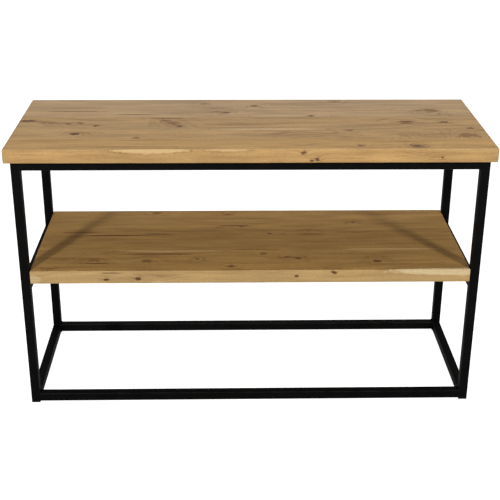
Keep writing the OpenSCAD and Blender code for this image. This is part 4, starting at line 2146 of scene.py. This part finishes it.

# The shelf boards are darker (tone 0.68 to 0.81) and richer (grey below nought) than the top boards. This
# is painted shade under the top, laid over the tone that differs from board to board.
SHELF_BOARD = partial(WoodFinish, grey=-0.06, sheen=0.22)
SHELF_WOOD = (
    SHELF_BOARD(
        tone=0.81,
        grey=-0.07,
        pale=(0.84, 0.665, 0.40),
        pith=(0.01, -250.0, 300.0),
        ring=7.5,
        seed=11.0,
        dark=(
            knot(-55.0, -195.0, SHELF_Z, 9.0, 1.5, 1.0),
            knot(-560.0, -205.0, SHELF_Z, 8.0, 1.5, 0.5),
            edge_knot(-400.0, SHELF_FRONT, 394.0, 7.0),
            edge_knot(-312.0, SHELF_FRONT, 396.0, 8.0),
            edge_knot(229.0, SHELF_FRONT, 413.0, 8.0),
            edge_knot(125.0, SHELF_FRONT, 402.0, 5.0),
            Mark((-384.0, SHELF_FRONT, 414.0), (44.0, 6.0, 2.6), 0.0, 0.7, 0.6, 0.8),
            Mark((-254.0, SHELF_FRONT, 376.0), (26.0, 10.0, 14.0), 12.0, 0.0),
            Mark((-606.0, SHELF_FRONT, 393.0), (22.0, 10.0, 14.0), 10.0, 0.0),
        ),
        sap=(
            sapwood(-254.0, SHELF_FRONT, 377.0, (31.0, 4.0, 17.0), 0.5, 0.25),
            sapwood(-604.0, SHELF_FRONT, 396.0, (30.0, 4.0, 15.0), 0.7, 0.3),
            sapwood(590.0, SHELF_FRONT, 417.0, (245.0, 12.0, 17.0), 1.0, 0.3),
            sapwood(-440.0, SHELF_FRONT, 406.0, (420.0, 3.0, 40.0), 0.33, 0.9),
            sapwood(0.0, SHELF_FRONT, 401.0, (1200.0, 2.5, 200.0), 0.27, 0.3),
        ),
    ),
    SHELF_BOARD(
        tone=0.75,
        pith=(-0.02, -140.0, 320.0),
        ring=6.8,
        seed=12.0,
        dark=(
            knot(40.0, -114.0, SHELF_Z, 8.0, strength=0.8),
            knot(101.0, -135.0, SHELF_Z, 8.0, strength=0.75),
            knot(138.0, -143.0, SHELF_Z, 9.0, strength=0.9),
            knot(-148.0, -146.0, SHELF_Z, 7.0, strength=0.8),
            knot(-291.0, -158.0, SHELF_Z, 13.0, 2.0, 0.6),
            knot(359.0, -166.0, SHELF_Z, 12.0, strength=0.9),
            knot(-440.0, -150.0, SHELF_Z, 16.0, 2.4, 0.35),
            streak(-262.0, -112.0, SHELF_Z, 130.0, 8.0, 0.5),
            streak(-435.0, -173.0, SHELF_Z, 48.0, 4.0, 0.6),
        ),
        sap=(sapwood(-227.0, -88.0, SHELF_Z, (170.0, 12.0, 14.0), 1.0, 0.3),),
    ),
    SHELF_BOARD(
        tone=0.73,
        pith=(0.02, 0.0, 310.0),
        ring=8.5,
        seed=13.0,
        dark=(
            knot(63.0, 36.0, SHELF_Z, 8.0, strength=0.85),
            knot(100.0, 34.0, SHELF_Z, 7.0, strength=0.5),
            streak(-400.0, 26.0, SHELF_Z, 120.0, 7.0, 0.6),
            streak(-268.0, 36.0, SHELF_Z, 60.0, 6.0, 0.5),
            streak(182.0, 31.0, SHELF_Z, 60.0, 6.0, 0.5),
            streak(20.0, -82.0, SHELF_Z, 100.0, 6.0, 0.3),
        ),
        sap=(sapwood(405.0, -83.0, SHELF_Z, (160.0, 10.0, 12.0), 1.0, 0.3),),
    ),
    SHELF_BOARD(
        tone=0.74,
        pith=(-0.01, 120.0, 320.0),
        ring=7.1,
        seed=14.0,
        dark=(
            knot(-81.0, 96.0, SHELF_Z, 8.0, strength=0.5),
            knot(-20.0, 97.0, SHELF_Z, 12.0, 1.4, 0.75),
            streak(-42.0, 99.0, SHELF_Z, 62.0, 7.0, 0.55),
            streak(-500.0, 49.0, SHELF_Z, 75.0, 6.0, 0.5),
            streak(320.0, 45.0, SHELF_Z, 80.0, 6.0, 0.4),
            knot(180.0, 62.0, SHELF_Z, 8.0, strength=0.4),
        ),
    ),
    SHELF_BOARD(
        tone=0.68,
        pith=(0.015, 190.0, 300.0),
        ring=8.2,
        seed=15.0,
        dark=(
            knot(-285.0, 203.0, SHELF_Z, 14.0, 1.4, 0.75),
            streak(414.0, 185.0, SHELF_Z, 50.0, 6.0, 0.4),
            knot(-62.0, 194.0, SHELF_Z, 8.0, strength=0.75),
            knot(321.0, 124.0, SHELF_Z, 8.0, strength=0.8),
        ),
    ),
)


def main() -> None:
    """Builds the studio and every sub-assembly in order."""
    logging.basicConfig(level=logging.INFO, format="%(name)s %(message)s")
    Studio().build()
    effects = Effects()
    coat = POWDER_COAT.material(effects)
    assemblies: tuple[Assembly, ...] = (
        Panel("top", Slot.WOOD_TOP, TOP_WOOD, "top_screws", effects),
        Panel("shelf", Slot.WOOD_SHELF, SHELF_WOOD, "shelf_screws", effects, hole_depth=26 * MM),
        TubeFrame(coat),
        Brackets(coat),
        Welds(coat),
        Fasteners(ZINC_PLATE.material(effects)),
        Feet(MOULDED_PLASTIC.material(effects)),
    )
    for assembly in assemblies:
        assembly.build()


if __name__ == "__main__":
    main()
